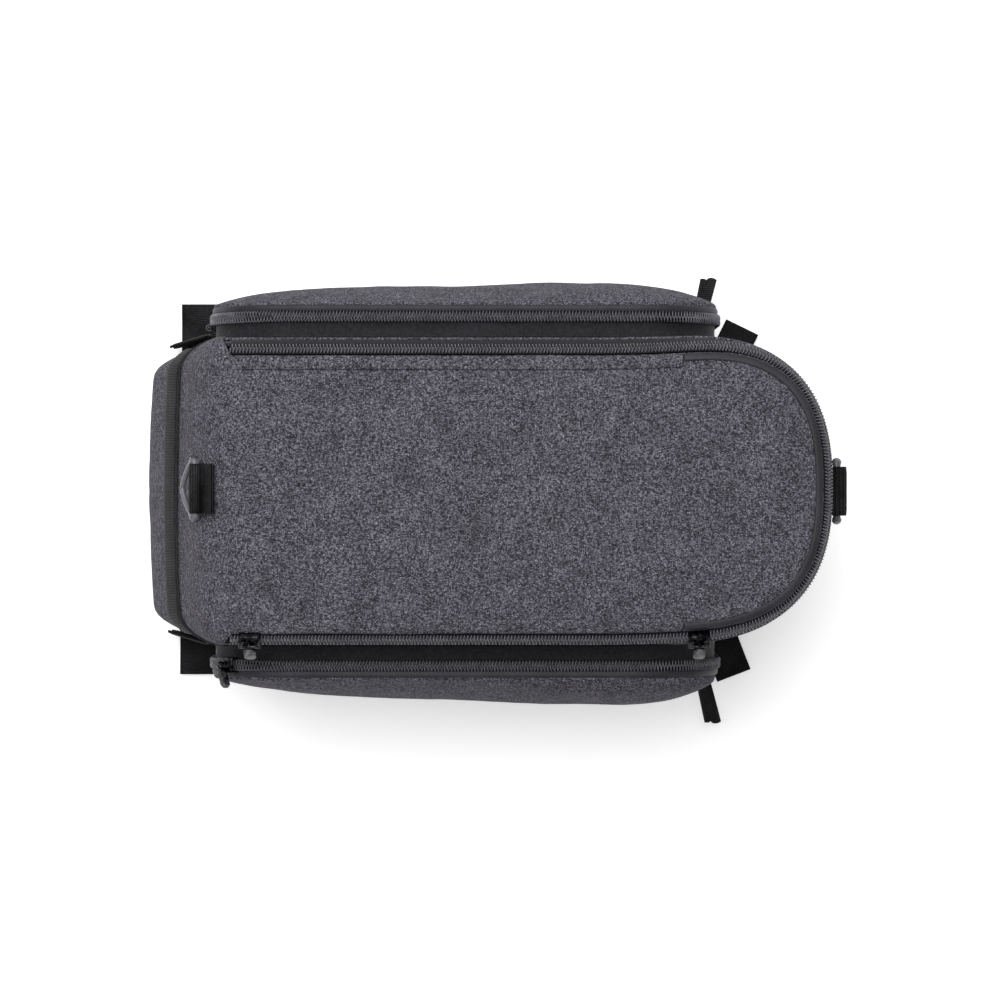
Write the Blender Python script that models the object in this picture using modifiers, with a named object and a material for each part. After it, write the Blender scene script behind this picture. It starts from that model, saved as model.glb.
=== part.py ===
"""Bicycle trunk bag: a padded box with a zipped lid, a folded pannier pocket on each side,
rings at both ends and hook-and-loop straps for the rack. Metres, +Z up, nose towards +X,
origin in the middle of the underside."""

import math

import bmesh
import bpy
from mathutils import Matrix, Vector

# Body of the bag
BASE_THICKNESS = 0.003
BASE_OVERHANG = 0.001
WALL_TOP = 0.172
WALL_THICKNESS = 0.004
WALL_HALF_WIDTH = 0.078
REAR_REACH = 0.188
NOSE_REACH = 0.168
NOSE_LENGTH = 0.076
NOSE_START = NOSE_REACH - NOSE_LENGTH
NOSE_POWER = 2.45
REAR_CORNER_LENGTH = 0.048
SIDE_START = REAR_CORNER_LENGTH - REAR_REACH
REAR_CORNER_WIDTH = 0.018
REAR_BOW = 0.0025
REAR_DROP = 0.012
DROP_START = 0.55

# Lid, set in and up from the top of the wall by its slanting zip
LID_ZIP_RISE = 0.012
LID_EDGE_HEIGHT = WALL_TOP + LID_ZIP_RISE
LID_CROWN = 0.006
LID_CROWN_POWER = 5.0
LID_LENGTH_CROWN = 0.0025
LID_SETBACK = 0.008
LID_HALF_WIDTH = WALL_HALF_WIDTH - LID_SETBACK
LID_NOSE_SETBACK = 0.0075
LID_NOSE_REACH = NOSE_REACH - LID_NOSE_SETBACK
LID_THICKNESS = 0.004
LID_FLAT_AHEAD = 0.005
LID_FLAT_START = SIDE_START + LID_FLAT_AHEAD
EDGE_STRIP_WIDTH = 0.007
NOSE_BAND_WIDTH = 0.004
STRIP_THICKNESS = 0.001

# Zips
TAPE_THICKNESS = 0.001
COIL_RADIUS = 0.0015
LID_ZIP_AHEAD = 0.007
LID_ZIP_START = SIDE_START + LID_ZIP_AHEAD
LID_COIL_SHARE = 0.45
SLIDER_LENGTH = 0.011
SLIDER_HALF_WIDTH = 0.0040
SLIDER_SIDE_WALL = 0.0012
SLIDER_TOP_PLATE = 0.0012
BAIL_THICKNESS = 0.0012
BAIL_OPENING = 0.005
PULL_RING_RADIUS = 0.0017
PULL_WIRE_RADIUS = 0.0005
PULL_LENGTH = 0.0105
PULL_WIDTH = 0.006
PULL_THICKNESS = 0.0014
PULL_REST_ANGLE = math.radians(18.0)
FRONT_SLIDER_AHEAD = 0.008
REAR_SLIDER_AHEAD = 0.007
LID_SLIDER_PLACES = {"front": NOSE_START + FRONT_SLIDER_AHEAD, "rear": LID_ZIP_START + REAR_SLIDER_AHEAD}
# turn round the pocket's top rear corner, drop down its rear end
POCKET_SLIDER_PLACES = {"left": (0.0, 0.067), "right": (math.radians(46.0), 0.0)}

# Side pockets
POCKET_REAR_BEHIND = 0.010
POCKET_REAR = SIDE_START - POCKET_REAR_BEHIND
POCKET_FRONT_AHEAD = 0.023
POCKET_FRONT = NOSE_START + POCKET_FRONT_AHEAD
POCKET_BOTTOM = 0.012
POCKET_TOP_DROP = 0.017
POCKET_TOP = WALL_TOP - POCKET_TOP_DROP
POCKET_TOP_RADIUS = 0.040
POCKET_BOTTOM_RADIUS = 0.025
POCKET_CORNER_SHARE = 0.3
GUSSET_DEPTH = 0.0085
GUSSET_EDGE = WALL_HALF_WIDTH + GUSSET_DEPTH
GUSSET_THICKNESS = 0.0015
POCKET_ZIP_WIDTH = 0.0057
POCKET_BAND_EDGE = GUSSET_EDGE + POCKET_ZIP_WIDTH
POCKET_BAND_WIDTH = 0.003
POCKET_COVER_EDGE = POCKET_BAND_EDGE + POCKET_BAND_WIDTH
POCKET_BULGE = 0.0152
POCKET_REAR_SLACK = 0.28
POCKET_FULLEST_BEHIND = 0.088
POCKET_FULLEST = POCKET_FRONT - POCKET_FULLEST_BEHIND
POCKET_BAND_THICKNESS = 0.002
POCKET_BAND_SWELL = 0.0005
COVER_THICKNESS = 0.003
COVER_SPINE_INSET = 0.058

# Webbing and rings
WEBBING_THICKNESS = 0.0016
REAR_WEBBING_LOW = 0.80
REAR_WEBBING_HIGH = 0.93
RING_WEBBING_WIDTH = 0.025
RING_WIRE_RADIUS = 0.0017
RING_SIDE_PLAY = 0.0008
RING_HEIGHT = 0.0115
RING_SIDE_POWER = 0.62
RING_BOW_POWER = 0.8
RING_TAB_PLAY = 0.0005
RING_TAB_THICKNESS = 0.0013
RING_TAB_TAIL = 0.008
REAR_RING_ROLL_SHARE = 0.74
NOSE_RING_DROP = 0.0115
NOSE_RING_HEIGHT = WALL_TOP - NOSE_RING_DROP
RACK_STRAP_WIDTH = 0.020
RACK_STRAP_THICKNESS = 0.0015
RACK_HOOK_HEIGHT = 0.026
RACK_HOOK_WIDTH = 0.0225
RACK_HOOK_BEHIND = 0.0035
RACK_HOOK_INSET = 0.0215
RACK_HOOK_TURN = math.radians(17.0)
STAY_STRAP_WIDTH = 0.010
STAY_STRAP_LENGTHS = {"left": 0.0255, "right": 0.0355}
STAY_STRAP_THICKNESS = 0.0022
STAY_STRAP_HEIGHT = 0.0215
STAY_STRAP_LEAN = math.radians(11.5)

# Clearance between pieces that are sewn or set together
GAP = 0.0003
SEAM_GAP = 0.0006
LID_SEAM_GAP = 0.0016
GUSSET_SEAM_GAP = 0.0010
STRAP_ROOT_GAP = 0.0009

# Steps round the outlines
REAR_STEPS = 4
CORNER_STEPS = 4
SIDE_STEPS = 6
NOSE_STEPS = 9
POCKET_CORNER_STEPS = 5
POCKET_RUN_STEPS = 5
RING_STEPS = 12
TAB_STEPS = 12
STRAP_COLUMNS = 6

# Body sections, each a share of a named size:
# height above the base, rear reach, half width, nose reach
WALL_SECTIONS = (
    (0.00, 0.958, 0.930, 0.930),
    (0.10, 0.984, 0.975, 0.965),
    (0.34, 1.000, 1.000, 0.985),
    (0.55, 0.979, 1.000, 0.995),
    (0.76, 0.916, 1.000, 1.000),
    (0.90, 0.862, 1.000, 1.000),
    (1.00, 0.837, 0.990, 1.000),
)

# Roll of the lid over the rear edge: share of the way from the seam to the flat, share of the rise
LID_ROLL = (
    (0.00, 0.00),
    (0.02, 0.15),
    (0.12, 0.36),
    (0.27, 0.58),
    (0.48, 0.79),
    (0.72, 0.93),
)

# Section of the lid zip's tape: share of the way in to the lid, share of the way up
LID_TAPE_SECTION = ((0.0, 0.0), (0.28, 0.62), (1.0, 1.0))

# Dome of a pocket cover: share of the inset to its spine, share of the bulge
COVER_DOME = (
    (0.00, 0.00),
    (0.012, 0.16),
    (0.08, 0.28),
    (0.22, 0.45),
    (0.48, 0.71),
    (0.76, 0.91),
    (1.00, 1.00),
)

# Rack straps: place that the free end is ahead of, distance ahead of it, distance out from
# the widest part of the wall, turn from straight out towards the nose
RACK_STRAPS = {
    "rear_left": (-REAR_REACH, 0.020, 0.027, 0.0),
    "rear_right": (-REAR_REACH, 0.019, 0.024, 0.0),
    "front_left": (NOSE_START, 0.0436, 0.0143, math.radians(26.0)),
    "front_right": (NOSE_START, 0.0389, 0.0247, math.radians(21.0)),
}

# Height of a rack strap's lower face: share of its length from the root, height
STRAP_WAVE = ((0.0, 0.0010), (0.3, 0.0014), (0.65, 0.0006), (1.0, 0.0016))

# Lean of a standing hook half: share of its height, distance towards the bag
HOOK_LEAN = ((0.0, 0.0), (0.35, 0.0006), (0.7, 0.0004), (1.0, -0.0008))

# Sag of a stay strap: share of its length, rise
STAY_SAG = ((0.0, 0.0), (0.4, 0.0005), (0.75, 0.0002), (1.0, -0.0012))

SIDES = {"left": 1, "right": -1}

for old_object in list(bpy.data.objects):
    bpy.data.objects.remove(old_object, do_unlink=True)

PARTS = bpy.data.collections.new("bicycle_trunk_bag")
CUTTERS = bpy.data.collections.new("cutters")
bpy.context.scene.collection.children.link(PARTS)
bpy.context.scene.collection.children.link(CUTTERS)


def make_material(name, colour, roughness, metallic=0.0):
    material = bpy.data.materials.new(name)
    material.use_nodes = True
    shader = material.node_tree.nodes["Principled BSDF"]
    shader.inputs["Base Color"].default_value = (*colour, 1.0)
    shader.inputs["Roughness"].default_value = roughness
    shader.inputs["Metallic"].default_value = metallic
    material.diffuse_color = (*colour, 1.0)
    return material


def add_mesh(name, points, faces, material):
    mesh = bpy.data.meshes.new(name)
    mesh.from_pydata([tuple(point) for point in points], [], faces)
    mesh.materials.append(material)
    mesh.shade_smooth()
    mesh.set_sharp_from_angle(angle=math.radians(40.0))
    piece = bpy.data.objects.new(name, mesh)
    PARTS.objects.link(piece)
    return piece


def add_thickness(piece, thickness, outward=False):
    solidify = piece.modifiers.new("thickness", "SOLIDIFY")
    solidify.thickness = thickness
    solidify.offset = 1.0 if outward else -1.0
    solidify.use_even_offset = True
    return piece


def loft(name, rows, material, closed=True, spine=False, thickness=None, outward=False):
    """A surface through rows of points; a last row of one point closes it to a tip."""
    points = [point for row in rows for point in row]
    count = len(rows[0])
    faces = []
    for row in range(len(rows) - 1):
        start = row * count
        above = start + count
        tip = len(rows[row + 1]) == 1
        for i in range(count if closed else count - 1):
            j = (i + 1) % count
            if tip:
                faces.append((start + i, start + j, above))
            else:
                faces.append((start + i, start + j, above + j, above + i))
    if spine:
        last = (len(rows) - 1) * count
        half = count // 2
        faces.append([last + i % count for i in range(count - 3, count + 4)])
        for i in range(3, half - 3):
            faces.append((last + i, last + i + 1, last + count - i - 1, last + count - i))
        faces.append([last + i for i in range(half - 3, half + 4)])
    piece = add_mesh(name, points, faces, material)
    if thickness:
        add_thickness(piece, thickness, outward)
    return piece


def add_tube(name, points, radius, material, closed=False):
    curve = bpy.data.curves.new(name, "CURVE")
    curve.dimensions = "3D"
    curve.bevel_depth = radius
    curve.bevel_resolution = 2
    curve.use_fill_caps = True
    spline = curve.splines.new("POLY")
    spline.points.add(len(points) - 1)
    for spline_point, point in zip(spline.points, points):
        spline_point.co = (*point, 1.0)
    spline.use_cyclic_u = closed
    curve.materials.append(material)
    tube = bpy.data.objects.new(name, curve)
    PARTS.objects.link(tube)
    return tube


def add_plate(name, outlines, thickness, material, collection=PARTS):
    """A flat outline in its own XY plane, with any holes, thickened evenly about that plane."""
    curve = bpy.data.curves.new(name, "CURVE")
    curve.dimensions = "2D"
    curve.fill_mode = "BOTH"
    curve.extrude = thickness / 2
    for outline in outlines:
        spline = curve.splines.new("POLY")
        spline.points.add(len(outline) - 1)
        for spline_point, (x, y) in zip(spline.points, outline):
            spline_point.co = (x, y, 0.0, 1.0)
        spline.use_cyclic_u = True
    curve.materials.append(material)
    plate = bpy.data.objects.new(name, curve)
    collection.objects.link(plate)
    return plate


def curve_to_mesh(curve_object, collection):
    """The curve's solid as a mesh object with welded caps, in the same place."""
    bpy.context.view_layer.update()
    evaluated = curve_object.evaluated_get(bpy.context.evaluated_depsgraph_get())
    mesh = bpy.data.meshes.new_from_object(evaluated)
    shape = bmesh.new()
    shape.from_mesh(mesh)
    bmesh.ops.remove_doubles(shape, verts=shape.verts, dist=1e-7)
    shape.to_mesh(mesh)
    shape.free()
    solid = bpy.data.objects.new(curve_object.name, mesh)
    solid.matrix_world = curve_object.matrix_world
    name = curve_object.name
    bpy.data.objects.remove(curve_object, do_unlink=True)
    solid.name = name
    collection.objects.link(solid)
    return solid


def join_with(piece, other):
    """One solid from a piece and a second shape that overlaps it."""
    other.hide_render = True
    other.display_type = "WIRE"
    union = piece.modifiers.new("join", "BOOLEAN")
    union.operation = "UNION"
    union.solver = "EXACT"
    union.object = other


def interpolate(table, place):
    """Values of a table at a place in its first column, straight between the rows."""
    for lower, upper in zip(table, table[1:]):
        if place <= upper[0]:
            share = (place - lower[0]) / (upper[0] - lower[0])
            return [a + share * (b - a) for a, b in zip(lower[1:], upper[1:])]
    return list(table[-1][1:])


def nose_curve(angle, half_width, reach):
    x = NOSE_START + (reach - NOSE_START) * math.sin(angle) ** (2 / NOSE_POWER)
    y = half_width * max(math.cos(angle), 0.0) ** (2 / NOSE_POWER)
    return x, y


def side_stations(start):
    """Places along a straight side, from its start to the nose."""
    step = (NOSE_START - SIDE_START) / SIDE_STEPS
    return [start] + [SIDE_START + step * k for k in range(1, SIDE_STEPS + 1)]


def nose_angles():
    return [math.radians(90.0) * k / NOSE_STEPS for k in range(1, NOSE_STEPS)]


def plan_outline(rear, half_width, nose):
    """Closed outline from the middle of the rear, along the right side, round the nose."""
    flat = half_width - REAR_CORNER_WIDTH
    half = []
    for k in range(REAR_STEPS + 1):
        y = flat * k / REAR_STEPS
        half.append((-rear + REAR_BOW * (y / half_width) ** 2, y))
    corner_length = SIDE_START - half[-1][0]
    for k in range(1, CORNER_STEPS):
        angle = math.radians(90.0) * k / CORNER_STEPS
        x = SIDE_START - corner_length * math.cos(angle)
        half.append((x, flat + REAR_CORNER_WIDTH * math.sin(angle)))
    half += [(x, half_width) for x in side_stations(SIDE_START)]
    half += [nose_curve(angle, half_width, nose) for angle in nose_angles()]
    half.append((nose, 0.0))
    right = [(x, -y) for x, y in half]
    left = [(x, y) for x, y in reversed(half[1:-1])]
    return right + left


def edge_path(start, half_width, nose):
    """Open path from the right side's start, round the nose, to the left side's start."""
    half = [(x, half_width) for x in side_stations(start)]
    half += [nose_curve(angle, half_width, nose) for angle in nose_angles()]
    return [(x, -y) for x, y in half] + [(nose, 0.0)] + [(x, y) for x, y in reversed(half)]


def wall_row(share, offset=0.0):
    """Points round the outside of the wall at a share of its height, moved out by an offset."""
    rear, half_width, nose = interpolate(WALL_SECTIONS, share)
    top_rear = REAR_REACH * WALL_SECTIONS[-1][1]
    bottom = BASE_THICKNESS + GAP
    reaches = (REAR_REACH * rear, WALL_HALF_WIDTH * half_width, NOSE_REACH * nose)
    outline = plan_outline(*[reach + offset for reach in reaches])
    sink = REAR_DROP * max(0.0, (share - DROP_START) / (1.0 - DROP_START))
    row = []
    for x, y in outline:
        back = min(max((SIDE_START - x) / (SIDE_START + top_rear), 0.0), 1.0)
        rearness = back * back * (3.0 - 2.0 * back)
        row.append(Vector((x, y, bottom + share * (WALL_TOP - bottom) - sink * rearness)))
    return row


def wall_side(x, z):
    """Distance of the wall's outside from the middle plane at a place on its side."""
    bottom = BASE_THICKNESS + GAP
    share = min(max((z - bottom) / (WALL_TOP - bottom), 0.0), 1.0)
    row = wall_row(share)
    half = row[:len(row) // 2 + 1]
    for a, b in zip(half[REAR_STEPS:], half[REAR_STEPS + 1:]):
        if a.x <= x <= b.x:
            return -(a.y + (b.y - a.y) * (x - a.x) / (b.x - a.x))
    return 0.0


def lid_height(x, y):
    """Height of the lid's outside, crowned from its edge to the middle."""
    ahead = max(x - NOSE_START, 0.0) / (LID_NOSE_REACH - NOSE_START)
    across = abs(y) / LID_HALF_WIDTH
    radius = (ahead ** NOSE_POWER + across ** NOSE_POWER) ** (1 / NOSE_POWER)
    middle = (LID_FLAT_START + LID_NOSE_REACH) / 2
    from_middle = (x - middle) / (LID_NOSE_REACH - middle)
    crown = LID_CROWN - LID_LENGTH_CROWN * from_middle ** 2
    return LID_EDGE_HEIGHT + crown * (1.0 - min(radius, 1.0) ** LID_CROWN_POWER)


def build_body():
    outline = [(point.x, point.y) for point in wall_row(0.0, BASE_OVERHANG)]
    base = add_plate("base_panel", [outline], BASE_THICKNESS, BLACK_FABRIC)
    base.location.z = BASE_THICKNESS / 2
    rows = [wall_row(section[0]) for section in WALL_SECTIONS]
    loft("wall_panel", rows, GREY_FABRIC, thickness=WALL_THICKNESS)
    reach = REAR_STEPS + CORNER_STEPS - 1
    heights = [section[0] for section in WALL_SECTIONS]
    bends = [height for height in heights if REAR_WEBBING_LOW < height < REAR_WEBBING_HIGH]
    rows = []
    for share in [REAR_WEBBING_LOW] + bends + [REAR_WEBBING_HIGH]:
        row = wall_row(share, 2 * GAP)
        rows.append(row[-reach:] + row[:reach + 1])
    loft("rear_webbing", rows, BLACK_WEBBING, closed=False, thickness=WEBBING_THICKNESS, outward=True)


def lid_section(x, half_width):
    columns = REAR_STEPS + CORNER_STEPS
    row = []
    for column in range(-columns, columns + 1):
        y = half_width * math.sin(math.radians(90.0) * column / columns)
        row.append(Vector((x, y, lid_height(x, y))))
    return row


def rear_roll():
    """Rows of the lid from the rear seam up to its flat; the seam follows the wall's top."""
    columns = REAR_STEPS + CORNER_STEPS
    top = wall_row(1.0)
    seam = [top[-k] for k in range(columns, 0, -1)] + top[:columns + 1]
    seam = [point + Vector((0.0, 0.0, LID_SEAM_GAP)) for point in reversed(seam)]
    flat = lid_section(LID_FLAT_START, LID_HALF_WIDTH)
    rows = []
    for along, rise in LID_ROLL:
        row = []
        for low, high in zip(seam, flat):
            point = low.lerp(high, along)
            point.z = low.z + (high.z - low.z) * rise
            row.append(point)
        rows.append(row)
    return rows


def build_lid():
    rows = rear_roll()
    for x in side_stations(LID_FLAT_START):
        rows.append(lid_section(x, LID_HALF_WIDTH))
    for angle in nose_angles():
        x, half_width = nose_curve(angle, LID_HALF_WIDTH, LID_NOSE_REACH)
        rows.append(lid_section(x, half_width))
    rows.append([Vector((LID_NOSE_REACH, 0.0, lid_height(LID_NOSE_REACH, 0.0)))])
    rows = [list(reversed(row)) for row in rows]
    loft("lid_panel", rows, GREY_FABRIC, closed=False, thickness=LID_THICKNESS)


def lid_strip_rows(width, path_slice):
    rows = []
    for inset in (GAP, width / 2 + GAP, width + GAP):
        path = edge_path(LID_ZIP_START, LID_HALF_WIDTH - inset, LID_NOSE_REACH - inset)
        rows.append([Vector((x, y, lid_height(x, y) + GAP)) for x, y in path[path_slice]])
    return rows


def build_lid_edging():
    straight = SIDE_STEPS + 1
    for name, path_slice in (("right", slice(0, straight)), ("left", slice(-straight, None))):
        rows = lid_strip_rows(EDGE_STRIP_WIDTH, path_slice)
        strip = loft("lid_edge_strip_" + name, rows, GREY_FABRIC, closed=False)
        add_thickness(strip, STRIP_THICKNESS, outward=True)
    rows = lid_strip_rows(NOSE_BAND_WIDTH, slice(straight - 1, 1 - straight))
    for row in rows:
        row[0].x += SEAM_GAP
        row[-1].x += SEAM_GAP
    loft("lid_nose_band", rows, BLACK_FABRIC, closed=False, thickness=STRIP_THICKNESS, outward=True)


def lid_tape_profile(inward, upward):
    """Half width, nose reach and height of the lid zip's tape at its shares in and up."""
    top_half = WALL_HALF_WIDTH * WALL_SECTIONS[-1][2]
    low = Vector((top_half - GAP, NOSE_REACH - GAP, WALL_TOP + 3 * GAP))
    high = Vector((LID_HALF_WIDTH + 2 * GAP, LID_NOSE_REACH + 2 * GAP, LID_EDGE_HEIGHT - 3 * GAP))
    rise = low.z + (high.z - low.z) * upward
    return Vector((low.x + (high.x - low.x) * inward, low.y + (high.y - low.y) * inward, rise))


def lid_coil_profile():
    """Half width, nose reach and height of the tape under the middle of the coil."""
    fold, top = [lid_tape_profile(*shares) for shares in LID_TAPE_SECTION[1:]]
    return fold.lerp(top, LID_COIL_SHARE)


def lid_tape_normal():
    """Outward and upward parts of the normal of the tape above its fold."""
    fold, top = [lid_tape_profile(*shares) for shares in LID_TAPE_SECTION[1:]]
    length = math.hypot(top.x - fold.x, top.z - fold.z)
    return (top.z - fold.z) / length, (fold.x - top.x) / length


def build_lid_zip():
    rows = []
    for inward, upward in LID_TAPE_SECTION:
        half_width, nose, height = lid_tape_profile(inward, upward)
        rows.append([Vector((x, y, height)) for x, y in edge_path(LID_ZIP_START, half_width, nose)])
    loft("lid_zip_tape", rows, BLACK_FABRIC, closed=False, thickness=TAPE_THICKNESS)
    half_width, nose, height = lid_coil_profile()
    outward, upward = lid_tape_normal()
    lift = COIL_RADIUS + GAP
    path = edge_path(LID_ZIP_START, half_width + lift * outward, nose + lift * outward)
    add_tube("lid_zip_coil", [(x, y, height + lift * upward) for x, y in path], COIL_RADIUS, BLACK_ZIP)


def pocket_outline(inset=0.0):
    """Side view of a pocket, from the middle of its rear end over the top and back underneath."""
    rear = POCKET_REAR + inset
    front = POCKET_FRONT - inset
    middle = (POCKET_TOP + POCKET_BOTTOM) / 2
    height = (POCKET_TOP - POCKET_BOTTOM) / 2 - inset
    halves = []
    for radius, up in ((POCKET_TOP_RADIUS, 1), (POCKET_BOTTOM_RADIUS, -1)):
        radius = max(radius - inset, POCKET_CORNER_SHARE * height)
        corner = [math.radians(90.0) * k / POCKET_CORNER_STEPS for k in range(POCKET_CORNER_STEPS + 1)]
        rise = [height - radius + radius * math.sin(angle) for angle in corner]
        reach = [radius - radius * math.cos(angle) for angle in corner]
        run = [(rear, (height - radius) / 2)]
        run += [(rear + x, z) for x, z in zip(reach, rise)]
        step = (front - rear - 2 * radius) / POCKET_RUN_STEPS
        run += [(rear + radius + step * k, height) for k in range(1, POCKET_RUN_STEPS)]
        run += [(front - x, z) for x, z in reversed(list(zip(reach, rise)))]
        run.append((front, (height - radius) / 2))
        halves.append([(x, middle + up * z) for x, z in run])
    return [(rear, middle)] + halves[0] + [(front, middle)] + list(reversed(halves[1]))


def pocket_row(depth, side, inset=0.0):
    outline = pocket_outline(inset)
    if side < 0:
        outline = outline[:1] + list(reversed(outline[1:]))
    return [Vector((x, side * depth(x, z), z)) for x, z in outline]


def cover_depth(bulge_share):
    """Distance of a cover's outside from the middle plane, slacker towards the rear."""
    def depth(x, z):
        behind = max(POCKET_FULLEST - x, 0.0) / (POCKET_FULLEST - POCKET_REAR)
        return POCKET_COVER_EDGE + bulge_share * POCKET_BULGE * (1.0 - POCKET_REAR_SLACK * behind)
    return depth


def pocket_coil_path(side):
    """The zip's U over the top of a pocket, from low on its rear end to low on its front end."""
    outline = pocket_outline(-COIL_RADIUS)
    half = len(outline) // 2
    route = outline[-2:] + outline[:half + 3]
    middle = (GUSSET_EDGE + POCKET_BAND_EDGE) / 2
    return [(x, side * middle, z) for x, z in route]


def build_pocket(name, side):
    def at(depth):
        return lambda x, z: depth

    rows = [pocket_row(lambda x, z: wall_side(x, z) + GUSSET_SEAM_GAP, side),
            pocket_row(at(GUSSET_EDGE), side)]
    loft("pocket_gusset_" + name, rows, BLACK_FABRIC, thickness=GUSSET_THICKNESS)
    rows = [pocket_row(at(GUSSET_EDGE + GAP), side, GAP), pocket_row(at(POCKET_BAND_EDGE), side, GAP)]
    loft("pocket_zip_tape_" + name, rows, BLACK_FABRIC, thickness=TAPE_THICKNESS)
    add_tube("pocket_zip_coil_" + name, pocket_coil_path(side), COIL_RADIUS, BLACK_ZIP)
    band_middle = (POCKET_BAND_EDGE + POCKET_COVER_EDGE) / 2
    rows = [pocket_row(at(POCKET_BAND_EDGE + GAP), side),
            pocket_row(at(band_middle), side, -POCKET_BAND_SWELL),
            pocket_row(at(POCKET_COVER_EDGE - GAP), side)]
    loft("pocket_band_" + name, rows, BLACK_FABRIC, thickness=POCKET_BAND_THICKNESS)
    rows = []
    for inset_share, bulge_share in COVER_DOME:
        rows.append(pocket_row(cover_depth(bulge_share), side, GAP + inset_share * COVER_SPINE_INSET))
    loft("pocket_cover_" + name, rows, GREY_FABRIC, spine=True, thickness=COVER_THICKNESS)


def slider_frame(origin, along, normal):
    """Place of a slider: X along its zip, Z away from the tape, -Y the side its pull falls to."""
    along = along.normalized()
    normal = normal.normalized()
    across = normal.cross(along)
    frame = Matrix((along, across, normal)).transposed().to_4x4()
    frame.translation = origin
    return frame


def slider_plate_height():
    return 2 * COIL_RADIUS + 3 * GAP + SLIDER_TOP_PLATE


def bail_height():
    return slider_plate_height() + PULL_RING_RADIUS + PULL_WIRE_RADIUS + 1.5 * GAP


def lid_slider_frame(x):
    half_width, nose, height = lid_coil_profile()
    outward, upward = lid_tape_normal()
    ahead = max(x - NOSE_START, 0.0) / (nose - NOSE_START)
    y = half_width * (1.0 - ahead ** NOSE_POWER) ** (1 / NOSE_POWER)
    slope = ahead ** (NOSE_POWER - 1) * half_width / (nose - NOSE_START)
    along = Vector((1.0, slope, 0.0)).normalized()
    normal = Vector((along.y * outward, -along.x * outward, upward))
    return slider_frame(Vector((x, -y, height)), along, normal)


def pocket_slider_frame(name, side):
    angle, drop = POCKET_SLIDER_PLACES[name]
    centre_x = POCKET_REAR + POCKET_TOP_RADIUS
    centre_z = POCKET_TOP - POCKET_TOP_RADIUS
    normal = Vector((-math.cos(angle), 0.0, math.sin(angle)))
    along = Vector((math.sin(angle), 0.0, math.cos(angle))) * -side
    middle = (GUSSET_EDGE + POCKET_BAND_EDGE) / 2
    centre = Vector((centre_x, side * middle, centre_z))
    origin = centre + normal * (POCKET_TOP_RADIUS + POCKET_BAND_SWELL) - Vector((0.0, 0.0, drop))
    return slider_frame(origin, along, normal)


def build_slider(name, frame):
    """A channel over the coil with a bail on top, and a ring and tab that turn on the bail."""
    top = slider_plate_height()
    under = top - SLIDER_TOP_PLATE
    outer = SLIDER_HALF_WIDTH
    inner = outer - SLIDER_SIDE_WALL
    channel = [(-outer, GAP), (-inner, GAP), (-inner, under), (inner, under),
               (inner, GAP), (outer, GAP), (outer, top), (-outer, top)]
    across = Matrix(((0, 0, 1, 0), (1, 0, 0, 0), (0, 1, 0, 0), (0, 0, 0, 1)))
    slider = add_plate(name.replace("*", "slider"), [channel], SLIDER_LENGTH, BLACK_METAL)
    slider.matrix_world = frame @ across
    slider = curve_to_mesh(slider, PARTS)
    foot = top - 2 * GAP
    low = bail_height() - BAIL_THICKNESS / 2
    high = bail_height() + BAIL_THICKNESS / 2
    inside = BAIL_OPENING / 2
    outside = inside + BAIL_THICKNESS
    arch = [(-outside, foot), (-inside, foot), (-inside, low), (inside, low),
            (inside, foot), (outside, foot), (outside, high), (-outside, high)]
    bail = add_plate(name.replace("*", "bail"), [arch], BAIL_THICKNESS, BLACK_METAL, CUTTERS)
    bail.matrix_world = frame @ Matrix.Rotation(math.radians(90.0), 4, "X")
    join_with(slider, curve_to_mesh(bail, CUTTERS))
    bpy.ops.mesh.primitive_torus_add(
        major_radius=PULL_RING_RADIUS, minor_radius=PULL_WIRE_RADIUS, major_segments=14, minor_segments=6)
    pull = bpy.context.object
    pull.name = name.replace("*", "pull")
    pull.data.name = pull.name
    pull.data.transform(Matrix.Rotation(math.radians(90.0), 4, "Y"))
    pull.data.materials.append(BLACK_METAL)
    for collection in list(pull.users_collection):
        collection.objects.unlink(pull)
    PARTS.objects.link(pull)
    bevel = PULL_WIDTH / 4
    wide = PULL_WIDTH / 2
    start = -PULL_RING_RADIUS
    end = start - PULL_LENGTH
    one_side = [(wide - bevel, end), (wide, end + bevel), (wide, start - bevel), (wide - bevel, start)]
    tab_outline = [(-x, y) for x, y in reversed(one_side)] + one_side
    place = frame @ Matrix.Translation((0.0, 0.0, bail_height()))
    place = place @ Matrix.Rotation(PULL_REST_ANGLE - math.radians(90.0), 4, "X")
    pull.matrix_world = place
    tab = add_plate(name.replace("*", "tab"), [tab_outline], PULL_THICKNESS, BLACK_METAL, CUTTERS)
    tab.matrix_world = place @ Matrix.Rotation(math.radians(90.0), 4, "X")
    join_with(pull, curve_to_mesh(tab, CUTTERS))


def build_sliders():
    for name, x in LID_SLIDER_PLACES.items():
        build_slider("lid_*_" + name, lid_slider_frame(x))
    for name, side in SIDES.items():
        build_slider("pocket_*_" + name, pocket_slider_frame(name, side))


def ring_path(bar_half, height):
    """A bar with a rounded bow on it: the middle line of the ring's wire, bar along X."""
    points = [(-bar_half, 0.0), (-bar_half / 3, 0.0), (bar_half / 3, 0.0), (bar_half, 0.0)]
    for k in range(1, RING_STEPS):
        angle = math.pi * k / RING_STEPS
        x = bar_half * math.copysign(abs(math.cos(angle)) ** RING_SIDE_POWER, math.cos(angle))
        points.append((x, height * math.sin(angle) ** RING_BOW_POWER))
    return points


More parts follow.
